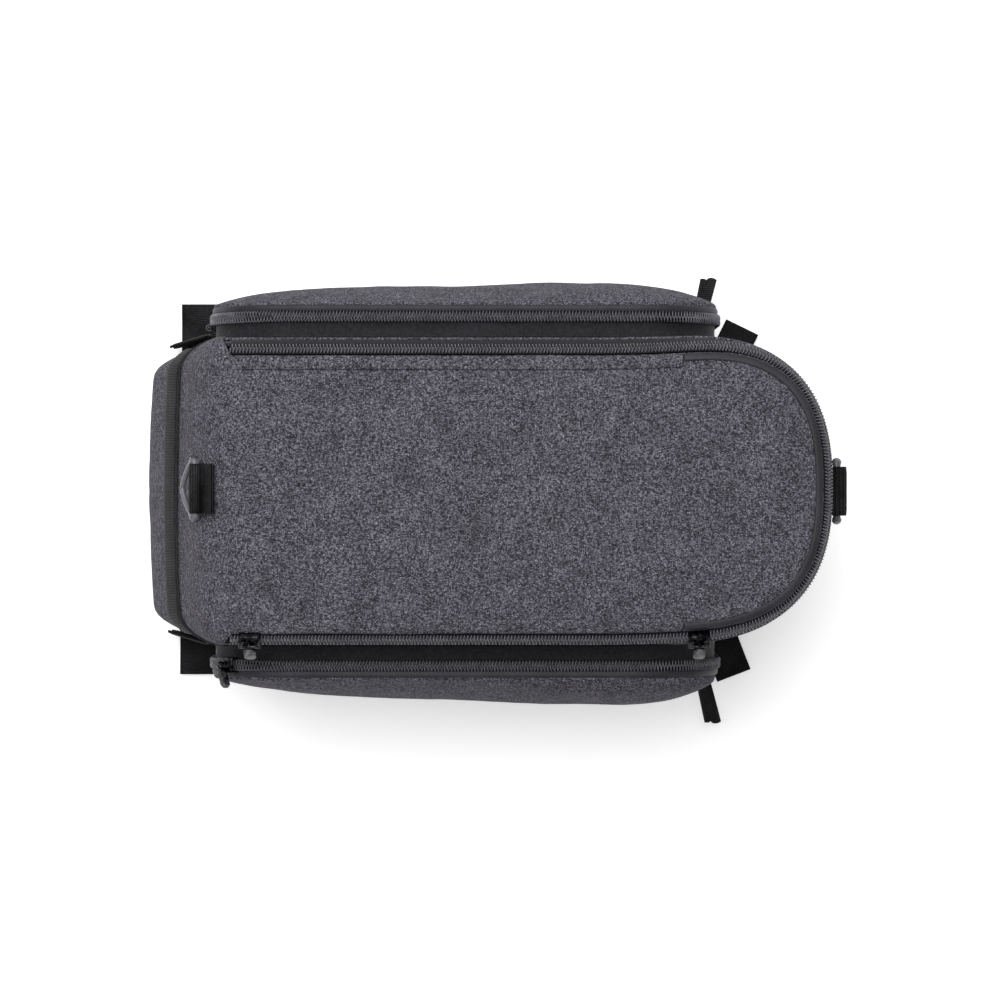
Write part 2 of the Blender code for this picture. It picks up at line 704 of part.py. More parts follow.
def build_ring(name, bar, down, away):
    """A webbing loop sewn to the bag, and the ring that hangs in it and turns about its bar."""
    frame = Matrix((away.cross(down), -down, away)).transposed().to_4x4()
    frame.translation = bar
    bar_half = RING_WEBBING_WIDTH / 2 + RING_SIDE_PLAY + RING_WIRE_RADIUS
    path = [(x, -y, 0.0) for x, y in ring_path(bar_half, RING_HEIGHT)]
    ring = add_tube(name, path, RING_WIRE_RADIUS, BLACK_PLASTIC, closed=True)
    ring.matrix_world = frame
    inner = RING_WIRE_RADIUS + RING_TAB_PLAY
    outer = inner + RING_TAB_THICKNESS
    tail_side = 2 * RING_TAB_THICKNESS - outer
    first = math.pi
    last = 2 * math.pi + math.acos(tail_side / outer)
    turns = [first + (last - first) * k / TAB_STEPS for k in range(TAB_STEPS + 1)]
    section = [(-outer, outer + RING_TAB_TAIL)]
    section += [(outer * math.cos(turn), outer * math.sin(turn)) for turn in turns]
    section.append((tail_side, outer + RING_TAB_TAIL))
    turns = [2 * math.pi * k / TAB_STEPS for k in range(TAB_STEPS)]
    hole = [(inner * math.cos(turn), inner * math.sin(turn)) for turn in turns]
    tab = add_plate(name + "_tab", [section, hole], RING_WEBBING_WIDTH, BLACK_WEBBING)
    tab.matrix_world = frame @ Matrix.Rotation(math.radians(-90.0), 4, "Y")


def build_rings():
    outer = RING_WIRE_RADIUS + RING_TAB_PLAY + RING_TAB_THICKNESS
    roll = rear_roll()
    middle = REAR_STEPS + CORNER_STEPS
    low = roll[1][middle]
    high = roll[4][middle]
    down = (low - high).normalized()
    away = Vector((down.z, 0.0, -down.x))
    across = low.lerp(high, REAR_RING_ROLL_SHARE)
    bulge = max((row[middle] - low).dot(away) for row in roll[1:5])
    build_ring("rear_ring", across + away * (bulge + outer + GAP), down, away)
    nose = Vector((NOSE_REACH + outer + GAP, 0.0, NOSE_RING_HEIGHT))
    build_ring("nose_ring", nose, Vector((0.0, 0.0, -1.0)), Vector((1.0, 0.0, 0.0)))


def distance_to_outline(start, direction, outline):
    """Distance from a point, along a direction, to the first edge of a closed outline."""
    nearest = None
    for a, b in zip(outline, outline[1:] + outline[:1]):
        edge = b - a
        turn = direction.x * edge.y - direction.y * edge.x
        if abs(turn) < 1e-12:
            continue
        to_edge = a - start
        distance = (to_edge.x * edge.y - to_edge.y * edge.x) / turn
        share = (to_edge.x * direction.y - to_edge.y * direction.x) / turn
        if distance > 0.0 and -1e-9 <= share <= 1.0 + 1e-9 and (nearest is None or distance < nearest):
            nearest = distance
    return nearest


def build_rack_straps():
    outline = [Vector((point.x, point.y)) for point in wall_row(0.0, BASE_OVERHANG + STRAP_ROOT_GAP)]
    for name, (place, ahead, outside, turn) in RACK_STRAPS.items():
        side = SIDES[name.split("_")[1]]
        middle = Vector((place + ahead, side * (WALL_HALF_WIDTH + outside)))
        out = Vector((math.sin(turn), side * math.cos(turn)))
        wide = Vector((math.cos(turn), -side * math.sin(turn)))
        rows = []
        for share, height in STRAP_WAVE:
            row = []
            for column in range(STRAP_COLUMNS + 1):
                end = middle + wide * RACK_STRAP_WIDTH * (column / STRAP_COLUMNS - 0.5)
                length = distance_to_outline(end, -out, outline)
                point = end - out * length * (1.0 - share)
                row.append(Vector((point.x, point.y, height)))
            rows.append(row if side > 0 else list(reversed(row)))
        loft("rack_strap_" + name, rows, BLACK_WEBBING, closed=False,
             thickness=RACK_STRAP_THICKNESS, outward=True)


def build_rack_hooks():
    """The standing hook half beside each rear strap, turned a little from the bag's side."""
    for name, side in SIDES.items():
        place, ahead, outside, turn = RACK_STRAPS["rear_" + name]
        end_y = WALL_HALF_WIDTH + outside
        middle = Vector((place + ahead - RACK_HOOK_BEHIND, side * (end_y - RACK_HOOK_INSET), 0.0))
        wide = Vector((math.cos(RACK_HOOK_TURN), side * math.sin(RACK_HOOK_TURN), 0.0))
        thick = Vector((-math.sin(RACK_HOOK_TURN), side * math.cos(RACK_HOOK_TURN), 0.0))
        foot = max(height for share, height in STRAP_WAVE) + RACK_STRAP_THICKNESS + GAP
        rows = []
        for share, lean in HOOK_LEAN:
            row = []
            for column in (-0.5, 0.0, 0.5):
                place = middle + wide * column * RACK_HOOK_WIDTH + thick * lean
                row.append(place + Vector((0.0, 0.0, foot + share * RACK_HOOK_HEIGHT)))
            rows.append(row if side < 0 else list(reversed(row)))
        loft("rack_hook_rear_" + name, rows, BLACK_WEBBING, closed=False, thickness=RACK_STRAP_THICKNESS)


def build_stay_straps():
    """The doubled webbing end that sticks out low at each pocket's front corner."""
    drop = math.asin((POCKET_BOTTOM + POCKET_BOTTOM_RADIUS - STAY_STRAP_HEIGHT) / POCKET_BOTTOM_RADIUS)
    reach = POCKET_BOTTOM_RADIUS + POCKET_BAND_SWELL + 2 * GAP + STAY_STRAP_THICKNESS / 2
    root_x = POCKET_FRONT - POCKET_BOTTOM_RADIUS + reach * math.cos(drop)
    root_z = POCKET_BOTTOM + POCKET_BOTTOM_RADIUS - reach * math.sin(drop)
    root_y = (POCKET_BAND_EDGE + POCKET_COVER_EDGE) / 2
    wide = Vector((math.sin(drop), 0.0, math.cos(drop)))
    for name, side in SIDES.items():
        out = Vector((math.sin(STAY_STRAP_LEAN), side * math.cos(STAY_STRAP_LEAN), 0.0))
        root = Vector((root_x, side * root_y, root_z))
        rows = []
        for share, sag in STAY_SAG:
            row = []
            for column in (-0.5, 0.0, 0.5):
                place = root + out * share * STAY_STRAP_LENGTHS[name] + wide * column * STAY_STRAP_WIDTH
                row.append(place + Vector((0.0, 0.0, sag)))
            rows.append(row if side > 0 else list(reversed(row)))
        strap = loft("stay_strap_" + name, rows, BLACK_WEBBING, closed=False)
        add_thickness(strap, STAY_STRAP_THICKNESS)
        strap.modifiers["thickness"].offset = 0.0


GREY_FABRIC = make_material("grey heathered polyester", (0.070, 0.066, 0.074), 0.95)
BLACK_FABRIC = make_material("black polyester", (0.010, 0.010, 0.011), 0.75)
BLACK_WEBBING = make_material("black webbing", (0.012, 0.012, 0.013), 0.80)
BLACK_ZIP = make_material("black nylon coil", (0.010, 0.010, 0.011), 0.40)
BLACK_METAL = make_material("black nickel", (0.060, 0.058, 0.056), 0.30, 1.0)
BLACK_PLASTIC = make_material("black acetal", (0.012, 0.012, 0.013), 0.35)

build_body()
build_lid()
build_lid_edging()
build_lid_zip()
for side_name, side_sign in SIDES.items():
    build_pocket(side_name, side_sign)
build_sliders()
build_rings()
build_rack_straps()
build_rack_hooks()
build_stay_straps()
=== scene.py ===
import math

import bmesh
import bpy
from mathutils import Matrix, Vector, noise


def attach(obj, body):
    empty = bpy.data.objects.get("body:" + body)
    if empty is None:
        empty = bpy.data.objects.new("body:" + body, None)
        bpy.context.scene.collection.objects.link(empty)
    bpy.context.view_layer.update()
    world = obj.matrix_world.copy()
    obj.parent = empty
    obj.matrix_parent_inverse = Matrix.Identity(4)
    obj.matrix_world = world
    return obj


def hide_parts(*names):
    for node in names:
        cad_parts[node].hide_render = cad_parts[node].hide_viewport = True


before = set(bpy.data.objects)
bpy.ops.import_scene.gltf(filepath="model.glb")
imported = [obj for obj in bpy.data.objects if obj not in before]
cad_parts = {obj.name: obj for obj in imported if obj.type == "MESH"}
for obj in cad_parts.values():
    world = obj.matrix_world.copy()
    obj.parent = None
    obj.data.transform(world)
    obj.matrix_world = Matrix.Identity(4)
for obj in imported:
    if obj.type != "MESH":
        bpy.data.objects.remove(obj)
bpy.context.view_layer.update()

# Photo table: a pale matt floor under the bag, one wide soft light over its left side, a weaker
# one from the rear right, and an even white surround. The camera looks straight down.
stage_floor_size = 6.0
bpy.ops.object.select_all(action="DESELECT")
bpy.ops.mesh.primitive_plane_add(size=stage_floor_size, location=(0.0, 0.0, -0.0002))
floor = bpy.context.object
floor.name = "studio_floor"


def shade(code):
    """An sRGB hex code as linear colour with alpha."""
    parts = [int(code[i:i + 2], 16) / 255 for i in (1, 3, 5)]
    return (*[c / 12.92 if c <= 0.04045 else ((c + 0.055) / 1.055) ** 2.4 for c in parts], 1.0)


def new_finish(name):
    material = bpy.data.materials.new(name)
    material.use_nodes = True
    return material, material.node_tree.nodes["Principled BSDF"]


def set_inputs(node, values):
    """Sets a node's inputs: values are numbers, or sockets to link from."""
    for key, value in values.items():
        if isinstance(value, bpy.types.NodeSocket):
            node.id_data.links.new(value, node.inputs[key])
        else:
            node.inputs[key].default_value = value


def add_node(material, kind, values=None, out=0, **settings):
    """Adds a shader node with its inputs and settings, and returns the output asked for."""
    node = material.node_tree.nodes.new("ShaderNode" + kind)
    for key, value in settings.items():
        setattr(node, key, value)
    set_inputs(node, values or {})
    return node.outputs[out]


# Matt vinyl sheet: nearly even, with a faint mottle.
vinyl, vinyl_shader = new_finish("matt white vinyl sheet")
place = add_node(vinyl, "TexCoord", None, "Object")
mottle = add_node(vinyl, "TexNoise", {"Vector": place, "Scale": 9.0})
tone = add_node(vinyl, "Mix", {0: mottle, 6: shade("#f6f6f7"), 7: shade("#fafafa")}, 2, data_type="RGBA")
# The sheet lies on a light table, which keeps the shadow round the bag pale
set_inputs(
    vinyl_shader, {"Base Color": tone, "Roughness": 0.9, "Emission Color": (1.0, 1.0, 1.0, 1.0),
    "Emission Strength": 0.4})
floor.data.materials.append(vinyl)

world = bpy.data.worlds.new("white surround")
bpy.context.scene.world = world
world.use_nodes = True
set_inputs(world.node_tree.nodes["Background"], {"Color": (1.0, 1.0, 1.0, 1.0), "Strength": 0.42})
bpy.context.scene.view_settings.view_transform = "Standard"

for lamp_name, spot, wide, power in (
        ("key_light", (-0.3, 0.7, 1.95), 1.7, 42.0),
        ("fill_light", (-1.3, -0.9, 1.3), 1.4, 2.5)):
    lamp_data = bpy.data.lights.new(lamp_name, "AREA")
    lamp_data.shape = "DISK"
    lamp_data.size = wide
    lamp_data.energy = power
    lamp = bpy.data.objects.new(lamp_name, lamp_data)
    lamp.location = spot
    lamp.rotation_euler = (Vector((0.0, 0.0, 0.1)) - Vector(spot)).to_track_quat("-Z", "Y").to_euler()
    bpy.context.scene.collection.objects.link(lamp)

camera_data = bpy.data.cameras.new("camera_above")
camera_data.lens = 115.0
camera_data.sensor_width = 36.0
camera_data.clip_end = 20.0
camera = bpy.data.objects.new("camera_above", camera_data)
camera.location = (0.0, -0.0045, 1.79)
bpy.context.scene.collection.objects.link(camera)
bpy.context.scene.camera = camera

# Bottom panel: a stiff black board covered in coated polyester, flat on the rack. Its cut edge
# is folded and pressed, so the rim is a little rounded.
black_cover, black_shader = new_finish("black coated polyester")
place = add_node(black_cover, "TexCoord", None, "Object")
# Yarn of 0.35 mm drawn at 0.7 mm, about a pixel and a half, so that the weave shows
weft = add_node(black_cover, "Mapping", {"Vector": place, "Scale": (420.0, 1450.0, 1450.0)})
warp = add_node(black_cover, "Mapping", {"Vector": place, "Scale": (1450.0, 420.0, 420.0)})
weft_yarn = add_node(black_cover, "TexNoise", {"Vector": weft, "Scale": 1.0, "Detail": 1.0})
warp_yarn = add_node(black_cover, "TexNoise", {"Vector": warp, "Scale": 1.0, "Detail": 1.0})
yarn = add_node(black_cover, "Math", {0: weft_yarn, 1: warp_yarn}, operation="MAXIMUM")
ramp = add_node(black_cover, "MapRange", {"Value": yarn, "From Min": 0.45, "From Max": 0.8})
dust = add_node(black_cover, "TexNoise", {"Vector": place, "Scale": 38.0, "Detail": 3.0})
dusty = add_node(black_cover, "MapRange", {"Value": dust, "From Min": 0.35, "From Max": 0.75, "To Max": 0.25})
shine = add_node(black_cover, "Math", {0: ramp, 1: dusty}, operation="ADD")
tone = add_node(
    black_cover, "Mix", {0: shine, 6: shade("#101013"), 7: shade("#27272c")}, 2, data_type="RGBA",
    clamp_factor=True)
bump = add_node(black_cover, "Bump", {"Height": yarn, "Strength": 0.35, "Distance": 0.0002})
set_inputs(black_shader, {"Base Color": tone, "Normal": bump, "Roughness": 0.72, "Specular IOR Level": 0.2})

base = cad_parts["base_panel"]
base.data.materials.clear()
base.data.materials.append(black_cover)

# Walls: grey heathered polyester over foam, sewn as one ring round the compartment. The rear
# leans in towards the lid and the nose is round in plan.
GAP = 0.0003
REAR_REACH, NOSE_REACH, NOSE_START, SIDE_START = 0.188, 0.168, 0.092, -0.140
WALL_HALF_WIDTH, WALL_TOP, WALL_THICKNESS = 0.078, 0.172, 0.004
BASE_TOP = 0.003
NOSE_POWER = 2.45
REAR_CORNER_WIDTH, REAR_BOW, REAR_DROP, DROP_START = 0.018, 0.0025, 0.012, 0.55
# height share, rear reach share, half width share, nose reach share
WALL_SECTIONS = (
    (0.00, 0.958, 0.930, 0.930), (0.10, 0.984, 0.975, 0.965), (0.34, 1.000, 1.000, 0.985),
    (0.55, 0.979, 1.000, 0.995), (0.76, 0.916, 1.000, 1.000), (0.90, 0.862, 1.000, 1.000),
    (1.00, 0.837, 0.990, 1.000))
REAR_STEPS, CORNER_STEPS, SIDE_STEPS, NOSE_STEPS = 14, 10, 54, 30
LID_DRIFT, NOSE_DRIFT = -0.0018, 0.0022


def drift(x, lid_share=1.0):
    """The stuffed bag isn't quite even: its lid sits a little to the right, its nose to the left."""
    ahead = min(max((x - 0.05) / 0.11, 0.0), 1.0)
    ahead = ahead * ahead * (3.0 - 2.0 * ahead)
    return LID_DRIFT * lid_share * (1.0 - ahead) + NOSE_DRIFT * ahead


def smooth_table(table, place):
    """Values of a table at a place in its first column, on a smooth curve through its rows."""
    last = len(table) - 1
    i = next((k for k in range(last) if place <= table[k + 1][0]), last - 1)
    rows = [table[max(i - 1, 0)], table[i], table[i + 1], table[min(i + 2, last)]]
    span = rows[2][0] - rows[1][0]
    t = min(max((place - rows[1][0]) / span, 0.0), 1.0)
    values = []
    for k in range(1, len(table[0])):
        before = (rows[2][k] - rows[0][k]) / max(rows[2][0] - rows[0][0], 1e-9) * span
        after = (rows[3][k] - rows[1][k]) / max(rows[3][0] - rows[1][0], 1e-9) * span
        a, b = rows[1][k], rows[2][k]
        values.append(a + t * before + t * t * (3 * (b - a) - 2 * before - after)
                      + t * t * t * (before + after - 2 * (b - a)))
    return values


def nose_curve(angle, half_width, reach, power=NOSE_POWER):
    x = NOSE_START + (reach - NOSE_START) * math.sin(angle) ** (2 / power)
    return x, half_width * max(math.cos(angle), 0.0) ** (2 / power)


def body_outline(rear, half_width, nose):
    """Closed outline from the middle of the rear, along the right side, round the nose."""
    flat = half_width - REAR_CORNER_WIDTH
    half = []
    for k in range(REAR_STEPS + 1):
        y = flat * k / REAR_STEPS
        half.append((-rear + REAR_BOW * (y / half_width) ** 2, y))
    corner_length = SIDE_START - half[-1][0]
    for k in range(1, CORNER_STEPS):
        angle = math.radians(90.0) * k / CORNER_STEPS
        half.append(
            (SIDE_START - corner_length * math.cos(angle), flat + REAR_CORNER_WIDTH * math.sin(angle)))
    half += [
        (SIDE_START + (NOSE_START - SIDE_START) * k / SIDE_STEPS,
        half_width) for k in range(SIDE_STEPS + 1)]
    half += [nose_curve(math.radians(90.0) * k / NOSE_STEPS, half_width, nose) for k in range(1, NOSE_STEPS)]
    half.append((nose, 0.0))
    return [(x, -y) for x, y in half] + [(x, y) for x, y in reversed(half[1:-1])]


def wall_row(share, offset=0.0):
    """Points round the outside of the wall at a share of its height, moved out by an offset."""
    rear, half_width, nose = smooth_table(WALL_SECTIONS, share)
    top_rear = REAR_REACH * WALL_SECTIONS[-1][1]
    bottom = BASE_TOP + GAP
    outline = body_outline(
        REAR_REACH * rear + offset, WALL_HALF_WIDTH * half_width + offset, NOSE_REACH * nose + offset)
    sink = REAR_DROP * max(0.0, (share - DROP_START) / (1.0 - DROP_START))
    row = []
    for x, y in outline:
        back = min(max((SIDE_START - x) / (SIDE_START + top_rear), 0.0), 1.0)
        height = bottom + share * (WALL_TOP - bottom) - sink * back * back * (3.0 - 2.0 * back)
        row.append(Vector((x, y + drift(x, 0.0) * share, height)))
    return row


def sheet_from(name, rows, closed=False):
    """A grid primitive with its points moved onto the rows, joined end to end where closed."""
    if closed:
        rows = [row + row[:1] for row in rows]
    bpy.ops.object.select_all(action="DESELECT")
    bpy.ops.mesh.primitive_grid_add(x_subdivisions=len(rows[0]) - 1, y_subdivisions=len(rows) - 1, size=1.0)
    piece = bpy.context.object
    piece.name = name
    points = [point for row in rows for point in row]
    for vertex, point in zip(piece.data.vertices, points, strict=True):
        vertex.co = point
    # The piece's own map: distance along and across the rows, in metres
    middle = len(rows) // 2
    along, across = [0.0], [0.0]
    for a, b in zip(rows[middle], rows[middle][1:]):
        along.append(along[-1] + (b - a).length)
    for a, b in zip(rows, rows[1:]):
        across.append(across[-1] + (b[0] - a[0]).length)
    cloth_map = piece.data.uv_layers.active or piece.data.uv_layers.new()
    for loop in piece.data.loops:
        row, column = divmod(loop.vertex_index, len(along))
        cloth_map.data[loop.index].uv = (along[column], across[row])
    shape = bmesh.new()
    shape.from_mesh(piece.data)
    bmesh.ops.remove_doubles(shape, verts=shape.verts, dist=1e-6)
    shape.to_mesh(piece.data)
    shape.free()
    piece.data.shade_smooth()
    return piece


def apply_all(piece):
    bpy.ops.object.select_all(action="DESELECT")
    piece.select_set(True)
    bpy.context.view_layer.objects.active = piece
    for modifier in list(piece.modifiers):
        bpy.ops.object.modifier_apply(modifier=modifier.name)


def plump(piece, pinned, pressure, give, cap):
    """Fills the sheet as cloth held by its sewn points, and keeps each point within the cap."""
    rest = [vertex.co.copy() for vertex in piece.data.vertices]
    sewn = piece.vertex_groups.new(name="sewn")
    sewn.add([i for i, point in enumerate(rest) if pinned(point)], 1.0, "REPLACE")
    cloth = piece.modifiers.new("filling", "CLOTH")
    fabric = cloth.settings
    fabric.quality = 5
    fabric.mass = 0.3
    fabric.tension_stiffness = 12.0
    fabric.compression_stiffness = 12.0
    fabric.shear_stiffness = 4.0
    fabric.bending_stiffness = 0.4
    fabric.use_pressure = True
    fabric.uniform_pressure_force = pressure
    fabric.shrink_min = -give
    fabric.vertex_group_mass = "sewn"
    fabric.effector_weights.gravity = 0.0
    for step in range(1, 21):
        bpy.context.scene.frame_set(step)
    apply_all(piece)
    for vertex, start in zip(piece.data.vertices, rest):
        move = vertex.co - start
        if move.length > cap:
            vertex.co = start + move * (cap / move.length)
    piece.vertex_groups.clear()
    bpy.context.scene.frame_set(1)


def crease(piece, height, size, seed=0.0):
    """Small soft unevenness along the surface's own normals."""
    normals = [vertex.normal.copy() for vertex in piece.data.vertices]
    for vertex, normal in zip(piece.data.vertices, normals):
        spot = vertex.co / size + Vector((seed, seed * 0.7, seed * 1.3))
        vertex.co += normal * height * noise.fractal(spot, 0.9, 2.2, 3)


def thicken(piece, thickness, levels=0):
    """Gives the sheet its thickness inwards, then rounds it with subdivision."""
    wall = piece.modifiers.new("thickness", "SOLIDIFY")
    wall.thickness = thickness
    wall.offset = -1.0
    if levels:
        rounding = piece.modifiers.new("rounding", "SUBSURF")
        rounding.levels = levels
        rounding.render_levels = levels
    apply_all(piece)
    piece.data.shade_smooth()


def fit(piece, finish, node=None, body="bag"):
    """The finished piece takes its finish, rides on its body and stands for its CAD node."""
    piece.data.materials.clear()
    piece.data.materials.append(finish)
    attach(piece, body)
    if node:
        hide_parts(node)


# Heathered polyester: dark and light yarns twisted together, so short light flecks lie along both
# thread directions over a charcoal ground, dry and matt with a slight sheen.
heather, heather_shader = new_finish("grey heathered polyester")
place = add_node(heather, "TexCoord", None, "Object")
# Yarns are 0.4 mm; each float of a yarn is drawn 0.5 mm thick and 1.1 mm long so that it shows,
# and takes one shade at random between the dark and the light yarn
weft = add_node(heather, "Mapping", {"Vector": place, "Scale": (900.0, 1950.0, 1950.0)})
warp = add_node(heather, "Mapping", {"Vector": place, "Scale": (1950.0, 950.0, 950.0)})
weft_float = add_node(heather, "VectorMath", {0: weft}, operation="FLOOR")
warp_float = add_node(heather, "VectorMath", {0: warp}, operation="FLOOR")
weft_yarn = add_node(heather, "TexWhiteNoise", {"Vector": weft_float})
warp_yarn = add_node(heather, "TexWhiteNoise", {"Vector": warp_float})
weft_fleck = add_node(heather, "MapRange", {"Value": weft_yarn, "From Min": 0.6, "From Max": 1.3})
warp_fleck = add_node(heather, "MapRange", {"Value": warp_yarn, "From Min": 0.6, "From Max": 1.35})
slub = add_node(heather, "TexNoise", {"Vector": weft, "Scale": 0.8, "Detail": 2.0, "Roughness": 0.6})
slub_fleck = add_node(heather, "MapRange", {"Value": slub, "From Min": 0.47, "From Max": 1.0})
both = add_node(heather, "Math", {0: weft_fleck, 1: warp_fleck}, operation="ADD")
flecks = add_node(heather, "Math", {0: both, 1: slub_fleck}, operation="ADD")
bright = add_node(heather, "TexNoise", {"Vector": place, "Scale": 1500.0, "Detail": 1.0})
bright_fleck = add_node(heather, "MapRange", {"Value": bright, "From Min": 0.64, "From Max": 0.74})
mottle = add_node(heather, "TexNoise", {"Vector": place, "Scale": 65.0, "Detail": 3.0})
mottled = add_node(
    heather, "MapRange", {"Value": mottle, "From Min": 0.3, "From Max": 0.7, "To Min": 0.72,
    "To Max": 0.94})
ground = add_node(
    heather, "Mix", {0: flecks, 6: shade("#2a292d"), 7: shade("#7c7984")}, 2, data_type="RGBA",
    clamp_factor=True)
lit = add_node(heather, "Mix", {0: bright_fleck, 6: ground, 7: shade("#a6a3ad")}, 2, data_type="RGBA")
tone = add_node(heather, "VectorMath", {0: lit, "Scale": mottled}, operation="SCALE")
bump = add_node(heather, "Bump", {"Height": flecks, "Strength": 0.4, "Distance": 0.0003})
set_inputs(
    heather_shader, {"Base Color": tone, "Normal": bump, "Roughness": 0.93, "Specular IOR Level": 0.12})

WALL_ROWS = 38
# How far the filling may push the cloth out, height and cell of its creases
WALL_FILL_REACH, WALL_CREASE, WALL_CREASE_CELL = 0.0016, 0.0004, 0.03
wall = sheet_from("walls", [wall_row(k / WALL_ROWS) for k in range(WALL_ROWS + 1)], closed=True)
wall_low, wall_high = BASE_TOP + 2 * GAP, WALL_TOP - REAR_DROP - 0.004
# The wall is also held where the rear webbing is stitched on
webbing_low = 0.112


def on_wall_seam(point):
    return point.z < wall_low or point.z > wall_high or (point.z > webbing_low and point.x < SIDE_START)


plump(wall, on_wall_seam, 1.0, 0.004, WALL_FILL_REACH)
crease(wall, WALL_CREASE, WALL_CREASE_CELL)
thicken(wall, WALL_THICKNESS)
fit(wall, heather, "wall_panel")

# Lid: the same heathered polyester over foam. It rolls over the rear edge down to a seam and is
# crowned a few millimetres from its zipped edge to its middle.
LID_EDGE_HEIGHT, LID_HALF_WIDTH, LID_NOSE_REACH = 0.184, 0.070, 0.1628
LID_CROWN, LID_LENGTH_CROWN, LID_CROWN_POWER, LID_NOSE_POWER = 0.006, 0.0025, 5.0, 2.7
LID_FLAT_START, LID_SEAM_GAP, LID_THICKNESS = -0.135, 0.0016, 0.004
LID_COLUMNS, LID_ROLL_ROWS, LID_FLAT_ROWS, LID_NOSE_ROWS = 20, 14, 52, 18
# Step, share of the way from the seam to the flat, share of the rise
LID_ROLL = ((0, 0.00, 0.00), (1, 0.02, 0.15), (2, 0.12, 0.36), (3, 0.27, 0.58),
            (4, 0.48, 0.79), (5, 0.72, 0.93), (6, 1.00, 1.00))


def lid_height(x, y):
    """Height of the lid's outside, crowned from its edge to the middle."""
    ahead = max(x - NOSE_START, 0.0) / (LID_NOSE_REACH - NOSE_START)
    radius = (ahead ** LID_NOSE_POWER + (abs(y) / LID_HALF_WIDTH) ** LID_NOSE_POWER) ** (1 / LID_NOSE_POWER)
    middle = (LID_FLAT_START + LID_NOSE_REACH) / 2
    from_middle = (x - middle) / (LID_NOSE_REACH - middle)
    crown = LID_CROWN - LID_LENGTH_CROWN * from_middle ** 2
    return LID_EDGE_HEIGHT + crown * (1.0 - min(radius, 1.0) ** LID_CROWN_POWER)


def rear_point(row, column):
    """Place on a row of the rear wall, column from -1 on the right to 1 on the left."""
    reach = REAR_STEPS + CORNER_STEPS
    spot = abs(column) * 2.0
    along = spot * REAR_STEPS if spot <= 1.0 else REAR_STEPS + (spot - 1.0) * CORNER_STEPS
    k = min(int(along), reach - 1)
    point = row[k].lerp(row[k + 1], along - k)
    return Vector((point.x, math.copysign(point.y, column), point.z))


lid_columns = [k / LID_COLUMNS for k in range(-LID_COLUMNS, LID_COLUMNS + 1)]
lid_across = [math.sin(math.radians(90.0) * c) for c in lid_columns]
# The lid's cloth reaches down over the rear wall to its seam
LID_SEAM_SHARES = (0.845, 0.875, 0.91, 0.95, 0.985)
LID_SKIRT = 0.0014
LID_FILL_REACH, LID_CREASE, LID_CREASE_CELL = 0.0016, 0.0005, 0.035
lid_rows = []
for share in LID_SEAM_SHARES:
    wall_line = wall_row(share, LID_SKIRT * (1.0 - 0.4 * share))
    lid_rows.append([rear_point(wall_line, c) for c in lid_columns])
top_line = wall_row(1.0)
seam = [rear_point(top_line, c) + Vector((0.0, 0.0, LID_SEAM_GAP)) for c in lid_columns]
flat = [
    Vector((LID_FLAT_START, LID_HALF_WIDTH * u,
    lid_height(LID_FLAT_START, LID_HALF_WIDTH * u))) for u in lid_across]
for k in range(LID_ROLL_ROWS):
    along, rise = smooth_table(LID_ROLL, 6.0 * k / LID_ROLL_ROWS)
    row = []
    for low, high in zip(seam, flat):
        point = low.lerp(high, along)
        point.z = low.z + (high.z - low.z) * rise
        row.append(point)
    lid_rows.append(row)
for k in range(LID_FLAT_ROWS):
    x = LID_FLAT_START + (NOSE_START - LID_FLAT_START) * k / LID_FLAT_ROWS
    lid_rows.append([Vector((x, LID_HALF_WIDTH * u, lid_height(x, LID_HALF_WIDTH * u))) for u in lid_across])
for k in range(LID_NOSE_ROWS + 1):
    v = k / LID_NOSE_ROWS
    row = []
    for u in lid_across:
        # A square of rows and columns laid into the round nose without a pole
        a, b = v * math.sqrt(1.0 - u * u / 2.0), u * math.sqrt(1.0 - v * v / 2.0)
        rounded = (abs(a) ** LID_NOSE_POWER + abs(b) ** LID_NOSE_POWER) ** (1 / LID_NOSE_POWER)
        size = math.hypot(a, b) / max(rounded, 1e-9)
        x, y = NOSE_START + (LID_NOSE_REACH - NOSE_START) * a * size, LID_HALF_WIDTH * b * size
        row.append(Vector((x, y, lid_height(x, y))))
    lid_rows.append(row)
for k, row in enumerate(lid_rows):
    settled = min(max((k - len(LID_SEAM_SHARES)) / LID_ROLL_ROWS, 0.0), 1.0)
    for point in row:
        point.y += drift(point.x) * settled
lid = sheet_from("lid", [list(reversed(row)) for row in lid_rows])


def on_lid_edge(point):
    ahead = max(point.x - NOSE_START, 0.0) / (LID_NOSE_REACH - NOSE_START)
    across = abs(point.y - drift(point.x)) / LID_HALF_WIDTH
    radius = (ahead ** LID_NOSE_POWER + across ** LID_NOSE_POWER) ** (1 / LID_NOSE_POWER)
    return radius > 0.93 or point.z < WALL_TOP - REAR_DROP + 0.006


plump(lid, on_lid_edge, 1.0, 0.004, LID_FILL_REACH)
crease(lid, LID_CREASE, LID_CREASE_CELL, 3.0)
thicken(lid, LID_THICKNESS)
fit(lid, heather, "lid_panel")

# Rear seam: a thin black piping cord closes the joint where the lid's roll is sewn to the rear wall; its
# black also stands in for the dark shadow line in that joint, as painted shade.
# The cord's radius, and how far below the seam's lowest share it lies
SHADOW_PIPING_RADIUS, SHADOW_PIPING_DROP = 0.0009, 0.004


def skin(shape, rings):
    """Quads between each ring of points and the next."""
    size = len(rings[0])
    for a, b in zip(rings, rings[1:]):
        for k in range(size):
            shape.faces.new((a[k], a[(k + 1) % size], b[(k + 1) % size], b[k]))


def piece_from(shape, name):
    """A smooth piece from a finished shape."""
    bmesh.ops.recalc_face_normals(shape, faces=shape.faces)
    mesh = bpy.data.meshes.new(name)
    shape.to_mesh(mesh)
    shape.free()
    mesh.shade_smooth()
    piece = bpy.data.objects.new(name, mesh)
    bpy.context.scene.collection.objects.link(piece)
    return piece


